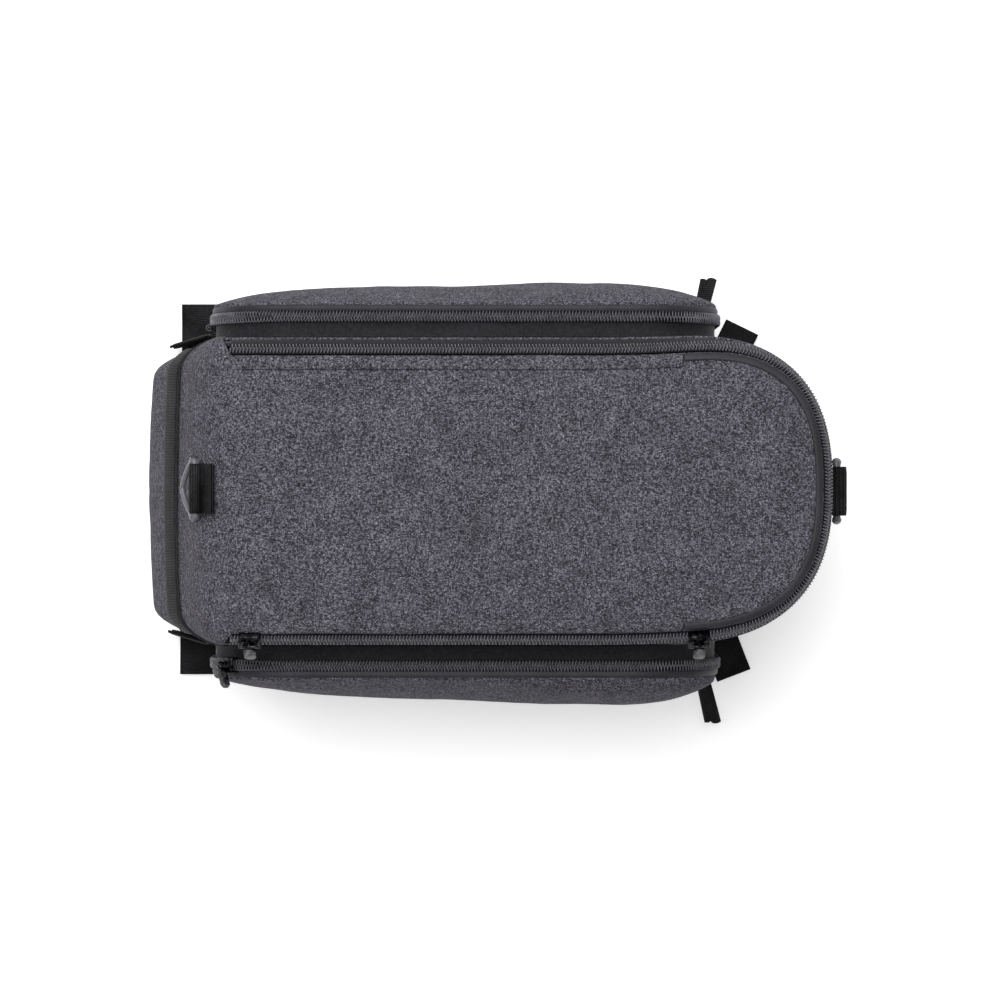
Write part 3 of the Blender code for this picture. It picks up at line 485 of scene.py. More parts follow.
def tube_along(name, points, radius, sides=8, closed=False):
    """A round cord through points as a mesh, its radius a number or one for each point."""
    count = len(points)
    radii = radius if isinstance(radius, list) else [radius] * count
    rows = []
    side = None
    for i, point in enumerate(points):
        ahead = points[(i + 1) % count] if closed or i < count - 1 else point
        behind = points[i - 1] if closed or i else point
        along = (ahead - behind).normalized()
        if side is None:
            side = along.orthogonal().normalized()
        side = (side - along * side.dot(along)).normalized()
        other = along.cross(side)
        turns = [2 * math.pi * k / sides for k in range(sides)]
        rows.append([point + (side * math.cos(t) + other * math.sin(t)) * radii[i] for t in turns])
    shape = bmesh.new()
    rings = [[shape.verts.new(p) for p in row] for row in rows]
    skin(shape, rings)
    if closed:
        # The frame may have turned on its way round, so the last ring meets its nearest points
        shift = min(range(sides), key=lambda s: (rings[-1][0].co - rings[0][s].co).length)
        skin(shape, [rings[-1], rings[0][shift:] + rings[0][:shift]])
    else:
        shape.faces.new(list(reversed(rings[0])))
        shape.faces.new(rings[-1])
    return piece_from(shape, name)


shadow_piping_line = wall_row(LID_SEAM_SHARES[0] - SHADOW_PIPING_DROP, SHADOW_PIPING_RADIUS)
shadow_piping_path = [rear_point(shadow_piping_line, c) for c in lid_columns]
# Painted shade: this black cord lies where the joint's shadow line falls
shadow_piping = tube_along("rear_seam_shadow_piping", shadow_piping_path, SHADOW_PIPING_RADIUS)
fit(shadow_piping, black_cover)

# Lid edging: the lid's own cloth is turned in along the straight zip and topstitched, and a smooth
# black band binds it round the nose.
EDGE_STRIP_WIDTH, NOSE_BAND_WIDTH = 0.007, 0.0039
LID_ZIP_START = -0.133
EDGING_THICKNESS = 0.0007
# Inset from the lid's edge as a share of the width, lift over the lid
EDGE_SECTION = ((-0.05, -0.0012), (-0.03, 0.0002), (0.04, 0.0011), (0.25, 0.0014),
                (0.55, 0.0015), (0.85, 0.0013), (0.97, 0.0009), (1.0, 0.0001))


def edge_path(start, half_width, nose, power=LID_NOSE_POWER, side_count=90, nose_count=40):
    """Open path from the right side's start, round the nose, to the left side's start."""
    half = [(start + (NOSE_START - start) * k / side_count, half_width) for k in range(side_count + 1)]
    half += [
        nose_curve(math.radians(90.0) * k / nose_count, half_width, nose, power) for k in range(1,
        nose_count)]
    return [(x, -y) for x, y in half] + [(nose, 0.0)] + [(x, y) for x, y in reversed(half)]


def edging_rows(width, part):
    rows = []
    for share, lift in EDGE_SECTION:
        inset = GAP + share * width
        path = edge_path(LID_ZIP_START, LID_HALF_WIDTH - inset, LID_NOSE_REACH - inset)[part]
        rows.append([Vector((x, y + drift(x), lid_height(x, y) + lift)) for x, y in path])
    return rows


for side_name, part in (("right", slice(0, 91)), ("left", slice(-91, None))):
    strip = sheet_from("lid_edge_strip_on_" + side_name, edging_rows(EDGE_STRIP_WIDTH, part))
    crease(strip, 0.0004, 0.016, 5.0)
    thicken(strip, EDGING_THICKNESS, 1)
    fit(strip, heather, "lid_edge_strip_" + side_name)
band = sheet_from("lid_nose_binding", edging_rows(NOSE_BAND_WIDTH, slice(90, -90)))
thicken(band, EDGING_THICKNESS, 1)

# Smooth black binding: a plain tape of fine yarn, a little bluish, with a soft satin shine
binding_cloth, binding_shader = new_finish("black woven binding tape")
place = add_node(binding_cloth, "TexCoord", None, "Object")
yarn = add_node(binding_cloth, "TexNoise", {"Vector": place, "Scale": 1500.0, "Detail": 1.0})
wear = add_node(binding_cloth, "TexNoise", {"Vector": place, "Scale": 45.0, "Detail": 4.0})
both = add_node(binding_cloth, "Math", {0: yarn, 1: wear}, operation="MULTIPLY")
spread = add_node(binding_cloth, "MapRange", {"Value": both, "From Min": 0.12, "From Max": 0.42})
tone = add_node(
    binding_cloth, "Mix", {0: spread, 6: shade("#1b1b1f"), 7: shade("#313137")}, 2, data_type="RGBA")
bump = add_node(binding_cloth, "Bump", {"Height": yarn, "Strength": 0.25, "Distance": 0.0002})
set_inputs(binding_shader, {"Base Color": tone, "Normal": bump, "Roughness": 0.58, "Specular IOR Level": 0.3})
fit(band, binding_cloth, "lid_nose_band")

# Lid zip: a woven tape that climbs from the wall's top edge and folds over towards the lid, with
# two nylon coils sewn on it that hook into each other all the way round the nose.
COIL_PITCH = 0.0017
COIL_WIRE = 0.00036
# Each coil's middle and half width across the tape, its middle and half height over the tape
COIL_MIDDLE, COIL_HALF_WIDTH, COIL_SEAT, COIL_RISE = 0.00112, 0.00158, 0.00088, 0.0009
COIL_LEAN = 0.9
TAPE_THICKNESS = 0.0008
# The zip starts this far behind the edging, under the lid's roll
ZIP_TUCK = 0.003
# Share of the way in to the lid, share of the way up
LID_TAPE_SECTION = ((0.0, 0.0), (0.10, 0.33), (0.28, 0.62), (0.62, 0.81), (1.0, 1.0))


def lid_tape_profile(inward, upward):
    """Half width, nose reach and height of the tape."""
    low = Vector((WALL_HALF_WIDTH * WALL_SECTIONS[-1][2] - GAP, NOSE_REACH - GAP, WALL_TOP + 3 * GAP))
    high = Vector((LID_HALF_WIDTH + 2 * GAP, LID_NOSE_REACH + 2 * GAP, LID_EDGE_HEIGHT - 3 * GAP))
    flat_part = low.lerp(high, inward)
    return flat_part.x, flat_part.y, low.z + (high.z - low.z) * upward


# Nylon coil: hard, fairly glossy black filament, coloured mid to light grey as painted highlights
nylon, nylon_shader = new_finish("black nylon coil")
place = add_node(nylon, "TexCoord", None, "Object")
painted_highlight_and_gloss_noise = add_node(nylon, "TexNoise", {"Vector": place, "Scale": 210.0, "Detail": 3.0})
# Painted highlight: the black filament is coloured grey, lighter at random along the coil; the same noise
# also sets its gloss
tone = add_node(nylon, "Mix", {0: painted_highlight_and_gloss_noise, 6: shade("#3a3a3f"), 7: shade("#82828a")}, 2, data_type="RGBA")
gloss = add_node(nylon, "MapRange", {"Value": painted_highlight_and_gloss_noise, "To Min": 0.22, "To Max": 0.38})
set_inputs(nylon_shader, {"Base Color": tone, "Roughness": gloss, "IOR": 1.53})


def resample(points, step):
    """The same path in even steps."""
    length = [0.0]
    for a, b in zip(points, points[1:]):
        length.append(length[-1] + (b - a).length)
    count = max(2, round(length[-1] / step))
    result, k = [], 0
    for i in range(count + 1):
        spot = length[-1] * i / count
        while k < len(points) - 2 and length[k + 1] < spot:
            k += 1
        result.append(
            points[k].lerp(points[k + 1], (spot - length[k]) / max(length[k + 1] - length[k], 1e-9)))
    return result


def coil_chain(name, path, normal_at):
    """Two flat helices of round filament, hooked into each other along the path."""
    turn_steps, sides = 9, 5
    points = resample(path, COIL_PITCH / turn_steps)
    frames = []
    for i, point in enumerate(points):
        along = (points[min(i + 3, len(points) - 1)] - points[max(i - 3, 0)]).normalized()
        normal = normal_at(point, along)
        frames.append((along, normal, normal.cross(along)))
    shape = bmesh.new()
    for hand in (1, -1):
        rings = []
        for i, (point, (along, normal, across)) in enumerate(zip(points, frames)):
            turn = 2 * math.pi * i / turn_steps + (0.0 if hand > 0 else math.pi)
            out = -math.cos(turn)
            up = math.sin(turn)
            centre = point + across * hand * (COIL_MIDDLE + COIL_HALF_WIDTH * out)
            centre += normal * (COIL_SEAT + COIL_RISE * up)
            outward = (across * hand * out + normal * up).normalized()
            swing = across * hand * math.sin(turn) + normal * math.cos(turn)
            lean = (along - swing * COIL_LEAN).normalized()
            other = lean.cross(outward).normalized()
            rounds = [2 * math.pi * k / sides for k in range(sides)]
            ring = [centre + (outward * math.cos(t) + other * math.sin(t)) * COIL_WIRE for t in rounds]
            rings.append([shape.verts.new(p) for p in ring])
        skin(shape, rings)
        shape.faces.new(list(reversed(rings[0])))
        shape.faces.new(rings[-1])
    return piece_from(shape, name)


# Zip tape: twill woven black tape; its ribs run across it, 0.8 mm apart so that they show, with painted shade
# in the grooves and lighter painted crests
tape_cloth, tape_shader = new_finish("black woven zip tape")
place = add_node(tape_cloth, "TexCoord", None, "Object")
place_on_tape = add_node(tape_cloth, "TexCoord", None, "UV")
ribs = add_node(
    tape_cloth, "TexWave", {"Vector": place_on_tape, "Scale": 392.0, "Distortion": 0.4,
    "Detail Scale": 60.0}, "Fac", bands_direction="X")
# Painted shade: the tape is coloured darker in the grooves between its ribs and lighter on their crests
tape_rib_painted_shade = add_node(tape_cloth, "MapRange", {"Value": ribs, "To Min": 0.15, "To Max": 0.85})
lint = add_node(tape_cloth, "TexNoise", {"Vector": place, "Scale": 600.0, "Detail": 2.0})
both = add_node(tape_cloth, "Math", {0: tape_rib_painted_shade, 1: lint}, operation="MULTIPLY")
tone = add_node(tape_cloth, "Mix", {0: both, 6: shade("#08080a"), 7: shade("#2b2c34")}, 2, data_type="RGBA")
bump = add_node(tape_cloth, "Bump", {"Height": ribs, "Strength": 0.5, "Distance": 0.0003})
set_inputs(tape_shader, {"Base Color": tone, "Normal": bump, "Roughness": 0.66, "Specular IOR Level": 0.2})

rows = []
for inward, upward in LID_TAPE_SECTION:
    half_width, nose, height = lid_tape_profile(inward, upward)
    power = NOSE_POWER + (LID_NOSE_POWER - NOSE_POWER) * inward
    path = edge_path(LID_ZIP_START - ZIP_TUCK, half_width, nose, power)
    rows.append([Vector((x, y + drift(x, inward), height)) for x, y in path])
tape = sheet_from("lid_zip_tape_woven", rows)
thicken(tape, TAPE_THICKNESS, 1)
fit(tape, tape_cloth, "lid_zip_tape")

fold, top = Vector(lid_tape_profile(*LID_TAPE_SECTION[2])), Vector(lid_tape_profile(*LID_TAPE_SECTION[4]))
LID_COIL_SHARE = 0.52
coil_profile = fold.lerp(top, LID_COIL_SHARE)


def lid_chain_normal(point, along):
    """The tape's own normal: outwards across the path, and up."""
    outward = along.cross(Vector((0.0, 0.0, 1.0))).normalized()
    run = abs(along.x) * (fold.x - top.x) + abs(along.y) * (fold.y - top.y)
    return (outward * (top.z - fold.z) + Vector((0.0, 0.0, run))).normalized()


chain_power = NOSE_POWER + (LID_NOSE_POWER - NOSE_POWER) * 0.6
chain_path = edge_path(LID_ZIP_START - ZIP_TUCK, coil_profile.x, coil_profile.y, chain_power)
chain_path = [Vector((x, y + drift(x, 0.9), coil_profile.z)) for x, y in chain_path]
chain = coil_chain("lid_zip_chain", chain_path, lid_chain_normal)
fit(chain, nylon, "lid_zip_coil")

# The wall's cloth is folded over at its top edge, which stands out beside the tape
FOLD_RADIUS, FOLD_OFFSET = 0.0008, 0.0002
fold_row = wall_row(1.0, -FOLD_OFFSET)
fold_path = fold_row[REAR_STEPS + CORNER_STEPS:len(fold_row) - REAR_STEPS - CORNER_STEPS + 1]
wall_fold = tube_along("wall_top_fold", [p + Vector((0.0, 0.0, FOLD_OFFSET)) for p in fold_path], FOLD_RADIUS)
fit(wall_fold, heather)

# Sliders and pulls: black nickel plated zinc castings with worn bright edges. Each pull hangs in
# its slider's bail and swings on it.
nickel, nickel_shader = new_finish("black nickel plated zinc")
place = add_node(nickel, "TexCoord", None, "Object")
scuff = add_node(nickel, "TexNoise", {"Vector": place, "Scale": 420.0, "Detail": 4.0})
worn = add_node(nickel, "MapRange", {"Value": scuff, "From Min": 0.42, "From Max": 0.7})
tone = add_node(nickel, "Mix", {0: worn, 6: shade("#121214"), 7: shade("#4e4e52")}, 2, data_type="RGBA")
gloss = add_node(nickel, "MapRange", {"Value": scuff, "To Min": 0.2, "To Max": 0.42})
set_inputs(nickel_shader, {"Base Color": tone, "Roughness": gloss, "Metallic": 1.0})


def softened(node, name, width):
    """A copy of a CAD piece, welded, with its hard edges rounded."""
    piece = bpy.data.objects.new(name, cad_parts[node].data.copy())
    bpy.context.scene.collection.objects.link(piece)
    shape = bmesh.new()
    shape.from_mesh(piece.data)
    bmesh.ops.remove_doubles(shape, verts=shape.verts, dist=1e-6)
    bmesh.ops.dissolve_limit(shape, angle_limit=math.radians(4.0), verts=shape.verts, edges=shape.edges)
    shape.to_mesh(piece.data)
    shape.free()
    rounding = piece.modifiers.new("rounding", "BEVEL")
    rounding.width = width
    rounding.segments = 2
    rounding.limit_method = "ANGLE"
    rounding.angle_limit = math.radians(42.0)
    rounding.use_clamp_overlap = True
    apply_all(piece)
    piece.data.shade_smooth()
    bpy.ops.object.shade_smooth_by_angle(angle=math.radians(50.0))
    return piece


SLIDER_ROUNDING, PULL_ROUNDING = 0.00035, 0.0003
for place_name in ("lid_{}_front", "lid_{}_rear", "pocket_{}_left", "pocket_{}_right"):
    node = place_name.format("slider")
    fit(softened(node, node + "_cast", SLIDER_ROUNDING), nickel, node)
    node = place_name.format("pull")
    fit(softened(node, node + "_cast", PULL_ROUNDING), nickel, node, body=node + "_body")

# Side pockets: a folded pannier on each side. A black gusset joins it to the wall, a zip runs
# round it, and a smooth band carries the zip on the domed grey cover.
POCKET_REAR, POCKET_FRONT, POCKET_BOTTOM, POCKET_TOP = -0.150, 0.1135, 0.012, 0.155
POCKET_TOP_RADIUS, POCKET_BOTTOM_RADIUS, POCKET_CORNER_SHARE = 0.040, 0.025, 0.3
GUSSET_EDGE, BAND_EDGE, COVER_EDGE = 0.0865, 0.0922, 0.0952
COVER_SPINE_INSET, COVER_THICKNESS = 0.058, 0.003
ZIP_MIDDLE = (GUSSET_EDGE + BAND_EDGE) / 2
# Distance from the middle plane, inset from the pocket's outline
POCKET_TAPE_SECTION = (
    (GUSSET_EDGE - 0.0004, 0.0016), (GUSSET_EDGE, GAP), (ZIP_MIDDLE, GAP), (BAND_EDGE + 0.0004, GAP))
POCKET_BAND_SECTION = (
    (BAND_EDGE - 0.0004, 0.0001), (BAND_EDGE - 0.0002, -0.0004), (BAND_EDGE + 0.0014, -0.0008),
    (COVER_EDGE + 0.0002, -0.0006), (COVER_EDGE + 0.0006, 0.0004))
POCKET_FULLEST = 0.027
POCKET_CORNER_STEPS, POCKET_RUN_STEPS, POCKET_END_STEPS = 9, 40, 9
GUSSET_THICKNESS, BAND_THICKNESS = 0.0012, 0.0012
# Gap of the gusset from the wall, hollow across its middle, tuck at its outer edge
GUSSET_FOOT, GUSSET_HOLLOW, GUSSET_TUCK = 0.0008, 0.0012, 0.0009
COVER_FILL_REACH, COVER_CREASE, COVER_CREASE_CELL = 0.0009, 0.0006, 0.04
# Bulge, slack towards the rear, fullness towards the front
POCKET_FILLS = {"left": (0.0143, 0.28, 0.1), "right": (0.0164, 0.44, 0.6)}
# Step, share of the inset to the spine, share of the bulge
COVER_DOME = ((0, 0.0, 0.0), (1, 0.012, 0.16), (2, 0.08, 0.28), (3, 0.22, 0.45), (4, 0.48, 0.71),
              (5, 0.76, 0.91), (6, 1.0, 1.0), (7, 1.20, 1.0))


def pocket_outline(inset=0.0):
    """Side view of a pocket, from the middle of its rear end over the top and back underneath."""
    rear, front = POCKET_REAR + inset, POCKET_FRONT - inset
    middle = (POCKET_TOP + POCKET_BOTTOM) / 2
    height = (POCKET_TOP - POCKET_BOTTOM) / 2 - inset
    halves = []
    for radius, up in ((POCKET_TOP_RADIUS, 1), (POCKET_BOTTOM_RADIUS, -1)):
        radius = max(radius - inset, POCKET_CORNER_SHARE * height)
        corner = [math.radians(90.0) * k / POCKET_CORNER_STEPS for k in range(POCKET_CORNER_STEPS + 1)]
        straight = height - radius
        run = [(rear, straight * k / POCKET_END_STEPS) for k in range(1, POCKET_END_STEPS)]
        run += [(rear + radius - radius * math.cos(a), straight + radius * math.sin(a)) for a in corner]
        step = (front - rear - 2 * radius) / POCKET_RUN_STEPS
        run += [(rear + radius + step * k, height) for k in range(1, POCKET_RUN_STEPS)]
        run += [
            (front - radius + radius * math.cos(a),
            straight + radius * math.sin(a)) for a in reversed(corner)]
        run += [(front, straight * k / POCKET_END_STEPS) for k in range(POCKET_END_STEPS - 1, 0, -1)]
        halves.append([(x, middle + up * z) for x, z in run])
    return [(rear, middle)] + halves[0] + [(front, middle)] + list(reversed(halves[1]))


def pocket_ring(depth, side, inset=0.0):
    outline = pocket_outline(inset)
    if side < 0:
        outline = outline[:1] + list(reversed(outline[1:]))
    return [Vector((x, side * depth(x, z), z)) for x, z in outline]


wall_profiles = [wall_row(k / 24) for k in range(25)]


def wall_side(x, z):
    """Distance of the wall's outside from the middle plane at a place on its side."""
    bottom = BASE_TOP + GAP
    spot = min(max((z - bottom) / (WALL_TOP - bottom), 0.0), 0.9999) * 24
    widths = []
    for row in wall_profiles[int(spot):int(spot) + 2]:
        half = row[REAR_STEPS:len(row) // 2 + 1]
        k = next((k for k in range(len(half) - 1) if half[k].x <= x <= half[k + 1].x), len(half) - 2)
        a, b = half[k], half[k + 1]
        widths.append(-(a.y + (b.y - a.y) * min(max((x - a.x) / max(b.x - a.x, 1e-9), 0.0), 1.0)))
    return widths[0] + (widths[1] - widths[0]) * (spot - int(spot))


def close_spine(piece, side):
    """Closes the flat middle of a cover across its last ring."""
    shape = bmesh.new()
    shape.from_mesh(piece.data)
    rim = [e for e in shape.edges if e.is_boundary and abs(e.verts[0].co.y) > COVER_EDGE + 0.006]
    welded = list({v for e in rim for v in e.verts})
    bmesh.ops.remove_doubles(shape, verts=welded, dist=0.0009)
    rim = [e for e in shape.edges if e.is_boundary and abs(e.verts[0].co.y) > COVER_EDGE + 0.006]
    filled = bmesh.ops.holes_fill(shape, edges=rim, sides=0)
    bmesh.ops.triangulate(shape, faces=filled["faces"])
    bmesh.ops.recalc_face_normals(shape, faces=shape.faces)
    probe = max(shape.faces, key=lambda f: abs(f.calc_center_median().y))
    if probe.normal.y * side < 0:
        bmesh.ops.reverse_faces(shape, faces=shape.faces)
    shape.to_mesh(piece.data)
    shape.free()
    piece.data.shade_smooth()


for side_name, side in (("left", 1), ("right", -1)):
    rows = []
    for k in range(6):
        share = k / 5
        tuck = GUSSET_HOLLOW * math.sin(math.pi * share) + GUSSET_TUCK * share ** 4

        def gusset_depth(x, z):
            foot = wall_side(x, z)
            return foot + GUSSET_FOOT + share * (GUSSET_EDGE - foot)

        rows.append(pocket_ring(gusset_depth, side, tuck))
    gusset = sheet_from("pocket_gusset_on_" + side_name, rows, closed=True)
    crease(gusset, 0.0006, 0.012, 7.0)
    thicken(gusset, GUSSET_THICKNESS, 1)
    fit(gusset, black_cover, "pocket_gusset_" + side_name)

    rows = [pocket_ring(lambda x, z: depth, side, inset) for depth, inset in POCKET_TAPE_SECTION]
    tape = sheet_from("pocket_zip_tape_on_" + side_name, rows, closed=True)
    thicken(tape, TAPE_THICKNESS, 1)
    fit(tape, tape_cloth, "pocket_zip_tape_" + side_name)

    outline = pocket_outline()
    half = len(outline) // 2
    route = outline[-POCKET_END_STEPS:] + outline[:half + POCKET_END_STEPS]
    chain_path = [Vector((x, side * ZIP_MIDDLE, z)) for x, z in route]
    chain = coil_chain(
        "pocket_zip_chain_" + side_name, chain_path, lambda point,
        along: Vector((-along.z, 0.0, along.x)).normalized())
    fit(chain, nylon, "pocket_zip_coil_" + side_name)

    rows = [pocket_ring(lambda x, z: depth, side, inset) for depth, inset in POCKET_BAND_SECTION]
    band = sheet_from("pocket_binding_on_" + side_name, rows, closed=True)
    thicken(band, BAND_THICKNESS, 1)
    fit(band, binding_cloth, "pocket_band_" + side_name)

    bulge, slack, fullness = POCKET_FILLS[side_name]
    rows = []
    for k in range(29):
        inset_share, bulge_share = smooth_table(COVER_DOME, k / 4)
        inset_share = min(inset_share, 1.2)

        def cover_depth(x, z):
            behind = max(POCKET_FULLEST - x, 0.0) / (POCKET_FULLEST - POCKET_REAR)
            ahead = min(max(x / 0.09, 0.0), 1.0)
            filled = 1.0 - (1.0 - min(bulge_share, 1.0)) ** (1.0 + fullness * ahead)
            return COVER_EDGE + filled * bulge * (1.0 - slack * behind)

        rows.append(pocket_ring(cover_depth, side, GAP + inset_share * COVER_SPINE_INSET))
    cover = sheet_from("pocket_cover_on_" + side_name, rows, closed=True)
    close_spine(cover, side)
    plump(cover, lambda p: abs(p.y) < COVER_EDGE + 0.0012, 1.0, 0.004, COVER_FILL_REACH)
    crease(cover, COVER_CREASE, COVER_CREASE_CELL, 11.0 + side)
    thicken(cover, COVER_THICKNESS)
    fit(cover, heather, "pocket_cover_" + side_name)

# Webbing: flat black polyester webbing with ribs across its length. The rear band is stitched on
# just under the seam; the rack straps and stay straps are cut lengths sewn into the seams.
webbing_yarn, webbing_shader = new_finish("black polyester webbing")
place = add_node(webbing_yarn, "TexCoord", None, "Object")
yarn = add_node(webbing_yarn, "TexNoise", {"Vector": place, "Scale": 1300.0, "Detail": 2.0})
dust = add_node(webbing_yarn, "TexNoise", {"Vector": place, "Scale": 70.0, "Detail": 3.0})
both = add_node(webbing_yarn, "Math", {0: yarn, 1: dust}, operation="MULTIPLY")
spread = add_node(webbing_yarn, "MapRange", {"Value": both, "From Min": 0.14, "From Max": 0.4})
# Painted shade: the grooves between the ribs are coloured nearly black and the crests lighter, from the rib
# attribute
ribs = add_node(webbing_yarn, "Attribute", None, "Fac", attribute_name="rib")
webbing_rib_painted_shade = add_node(webbing_yarn, "MapRange", {"Value": ribs, "From Min": 0.3, "To Min": 0.05, "To Max": 1.0})
lit = add_node(webbing_yarn, "Math", {0: spread, 1: webbing_rib_painted_shade}, operation="MULTIPLY")
tone = add_node(webbing_yarn, "Mix", {0: lit, 6: shade("#050506"), 7: shade("#3a3a3e")}, 2, data_type="RGBA")
bump = add_node(webbing_yarn, "Bump", {"Height": yarn, "Strength": 0.4, "Distance": 0.0002})
set_inputs(
    webbing_shader, {"Base Color": tone, "Normal": bump, "Roughness": 0.62, "Specular IOR Level": 0.14})


def webbing(name, place, length, thickness, pitch, depth):
    """A ribbed strip: place(share, across) gives its middle plane and face, across from -1 to 1."""
    columns = 8
    count = max(2, round(length / pitch)) * 4
    shape = bmesh.new()
    # The rib attribute, 1 on the crests and 0 in the grooves, carries the painted shade between the ribs
    crest = shape.verts.layers.float.new("rib")
    rings = []
    for k in range(count + 1):
        wave = math.sin(math.pi * k / 2)
        rib = depth * (wave - 1.0)
        ring = []
        for face, order in ((1, range(columns + 1)), (-1, range(columns, -1, -1))):
            for column in order:
                across = 2 * column / columns - 1
                point, normal = place(k / count, across)
                edge = 0.55 if column in (0, columns) else 1.0
                ring.append(shape.verts.new(point + normal * face * (thickness / 2 * edge + rib * edge)))
                ring[-1][crest] = (wave + 1.0) / 2
        rings.append(ring)
    skin(shape, rings)
    size = len(rings[0])
    for ring in (rings[0], rings[-1]):
        for k in range(columns):
            shape.faces.new((ring[k], ring[k + 1], ring[size - 2 - k], ring[size - 1 - k]))
    return piece_from(shape, name)


REAR_WEBBING_LOW, REAR_WEBBING_HIGH, REAR_WEBBING_STAND = 0.725, 0.836, 0.0011
# Rib pitch and half height of the rear band, of the straps and of the hook halves
REAR_RIB, STRAP_RIB, HOOK_RIB = (0.0014, 0.00034), (0.00115, 0.00016), (0.0009, 0.00016)
WEBBING_THICKNESS = 0.0014
webbing_rows = []
for k in range(5):
    row = wall_row(REAR_WEBBING_LOW + (REAR_WEBBING_HIGH - REAR_WEBBING_LOW) * k / 4, REAR_WEBBING_STAND)
    reach = REAR_STEPS + CORNER_STEPS // 2
    webbing_rows.append(resample(row[-reach:] + row[:reach + 1], 0.0008))
webbing_length = sum((b - a).length for a, b in zip(webbing_rows[2], webbing_rows[2][1:]))


def rear_band(share, across):
    """Middle plane of the rear webbing on the curve of the rear wall."""
    spot = (across + 1) / 2 * 3.9999
    low, high = webbing_rows[int(spot)], webbing_rows[int(spot) + 1]
    i = min(int(share * (len(low) - 1)), len(low) - 2)
    j = min(int(share * (len(high) - 1)), len(high) - 2)
    a = low[i].lerp(low[i + 1], share * (len(low) - 1) - i)
    b = high[j].lerp(high[j + 1], share * (len(high) - 1) - j)
    along = (low[i + 1] - low[i]).normalized()
    return a.lerp(b, spot - int(spot)), along.cross((b - a).normalized()).normalized()


band = webbing("rear_webbing_woven", rear_band, webbing_length, WEBBING_THICKNESS, *REAR_RIB)
fit(band, webbing_yarn, "rear_webbing")

# Rack straps: hook-and-loop straps sewn under the bottom edge, lying out on the rack, and beside
# each rear one its hook half, which stands up against the pocket.
RACK_STRAP_WIDTH, RACK_STRAP_THICKNESS = 0.020, 0.0015
# Place that the free end is ahead of, distance ahead, distance out from the wall, turn
RACK_STRAPS = {
    "rear_left": (-REAR_REACH, 0.020, 0.027, 0.0), "rear_right": (-REAR_REACH, 0.019, 0.024, 0.0),
    "front_left": (NOSE_START, 0.0436, 0.0143, math.radians(26.0)),
    "front_right": (NOSE_START, 0.0389, 0.0247, math.radians(21.0))}
# Share of the length from the root, height of the lower face
STRAP_WAVE = ((0.0, 0.0010), (0.3, 0.0014), (0.65, 0.0006), (1.0, 0.0016))
BASE_RIM = 0.0019
base_outline = [Vector((p.x, p.y)) for p in wall_row(0.0, BASE_RIM)]


def distance_to_base(start, direction):
    """Distance from a point, along a direction, to the edge of the bottom panel."""
    found = []
    for a, b in zip(base_outline, base_outline[1:] + base_outline[:1]):
        edge, to_edge = b - a, a - start
        turn = direction.x * edge.y - direction.y * edge.x
        if abs(turn) > 1e-12:
            distance = (to_edge.x * edge.y - to_edge.y * edge.x) / turn
            share = (to_edge.x * direction.y - to_edge.y * direction.x) / turn
            if distance > 0.0 and 0.0 <= share <= 1.0:
                found.append(distance)
    return min(found)


for strap_name, (start, ahead, outside, turn) in RACK_STRAPS.items():
    side = 1 if strap_name.endswith("left") else -1
    out = Vector((math.sin(turn), side * math.cos(turn)))
    wide = Vector((math.cos(turn), -side * math.sin(turn)))
    end = Vector((start + ahead, side * (WALL_HALF_WIDTH + outside)))
    reaches = [distance_to_base(end + wide * RACK_STRAP_WIDTH / 2 * (k / 4 - 1), -out) for k in range(9)]

    def strap_place(share, across):
        reach = reaches[round((across + 1) * 4)]
        flat_place = end + wide * RACK_STRAP_WIDTH / 2 * across - out * reach * (1.0 - share)
        height = smooth_table(STRAP_WAVE, share)[0] + RACK_STRAP_THICKNESS / 2
        return Vector((flat_place.x, flat_place.y, height)), Vector((0.0, 0.0, 1.0))

    strap = webbing(
        "rack_strap_woven_" + strap_name, strap_place, max(reaches), RACK_STRAP_THICKNESS, *STRAP_RIB)
    fit(strap, webbing_yarn, "rack_strap_" + strap_name)

RACK_HOOK_HEIGHT, RACK_HOOK_WIDTH, RACK_HOOK_TURN = 0.026, 0.0225, math.radians(17.0)
# Back and in from the middle of its strap's free end
RACK_HOOK_BACK, RACK_HOOK_IN = 0.0035, 0.0215
HOOK_LEAN = ((0.0, 0.0), (0.35, 0.0006), (0.7, 0.0004), (1.0, -0.0008))
for side_name, side in (("left", 1), ("right", -1)):
    start, ahead, outside, turn = RACK_STRAPS["rear_" + side_name]
    middle = Vector((start + ahead - RACK_HOOK_BACK, side * (WALL_HALF_WIDTH + outside - RACK_HOOK_IN), 0.0))
    wide = Vector((math.cos(RACK_HOOK_TURN), side * math.sin(RACK_HOOK_TURN), 0.0))
    thick = Vector((-math.sin(RACK_HOOK_TURN), side * math.cos(RACK_HOOK_TURN), 0.0))
    foot = STRAP_WAVE[-1][1] + RACK_STRAP_THICKNESS + GAP

    def hook_place(share, across):
        lean = smooth_table(HOOK_LEAN, share)[0]
        up = Vector((0.0, 0.0, foot + share * RACK_HOOK_HEIGHT))
        return middle + wide * across * RACK_HOOK_WIDTH / 2 + thick * lean + up, thick

    hook = webbing(
        "rack_hook_woven_" + side_name, hook_place, RACK_HOOK_HEIGHT, RACK_STRAP_THICKNESS, *HOOK_RIB)
    fit(hook, webbing_yarn, "rack_hook_rear_" + side_name)

# Stay straps: a doubled end of narrow webbing that sticks out low at each pocket's front corner.
STAY_STRAP_WIDTH, STAY_STRAP_THICKNESS = 0.010, 0.0022
STAY_STRAP_LENGTHS = {"left": 0.0255, "right": 0.0355}
STAY_STRAP_HEIGHT, STAY_STRAP_LEAN, STAY_TWIST = 0.0215, math.radians(13.5), math.radians(22.0)
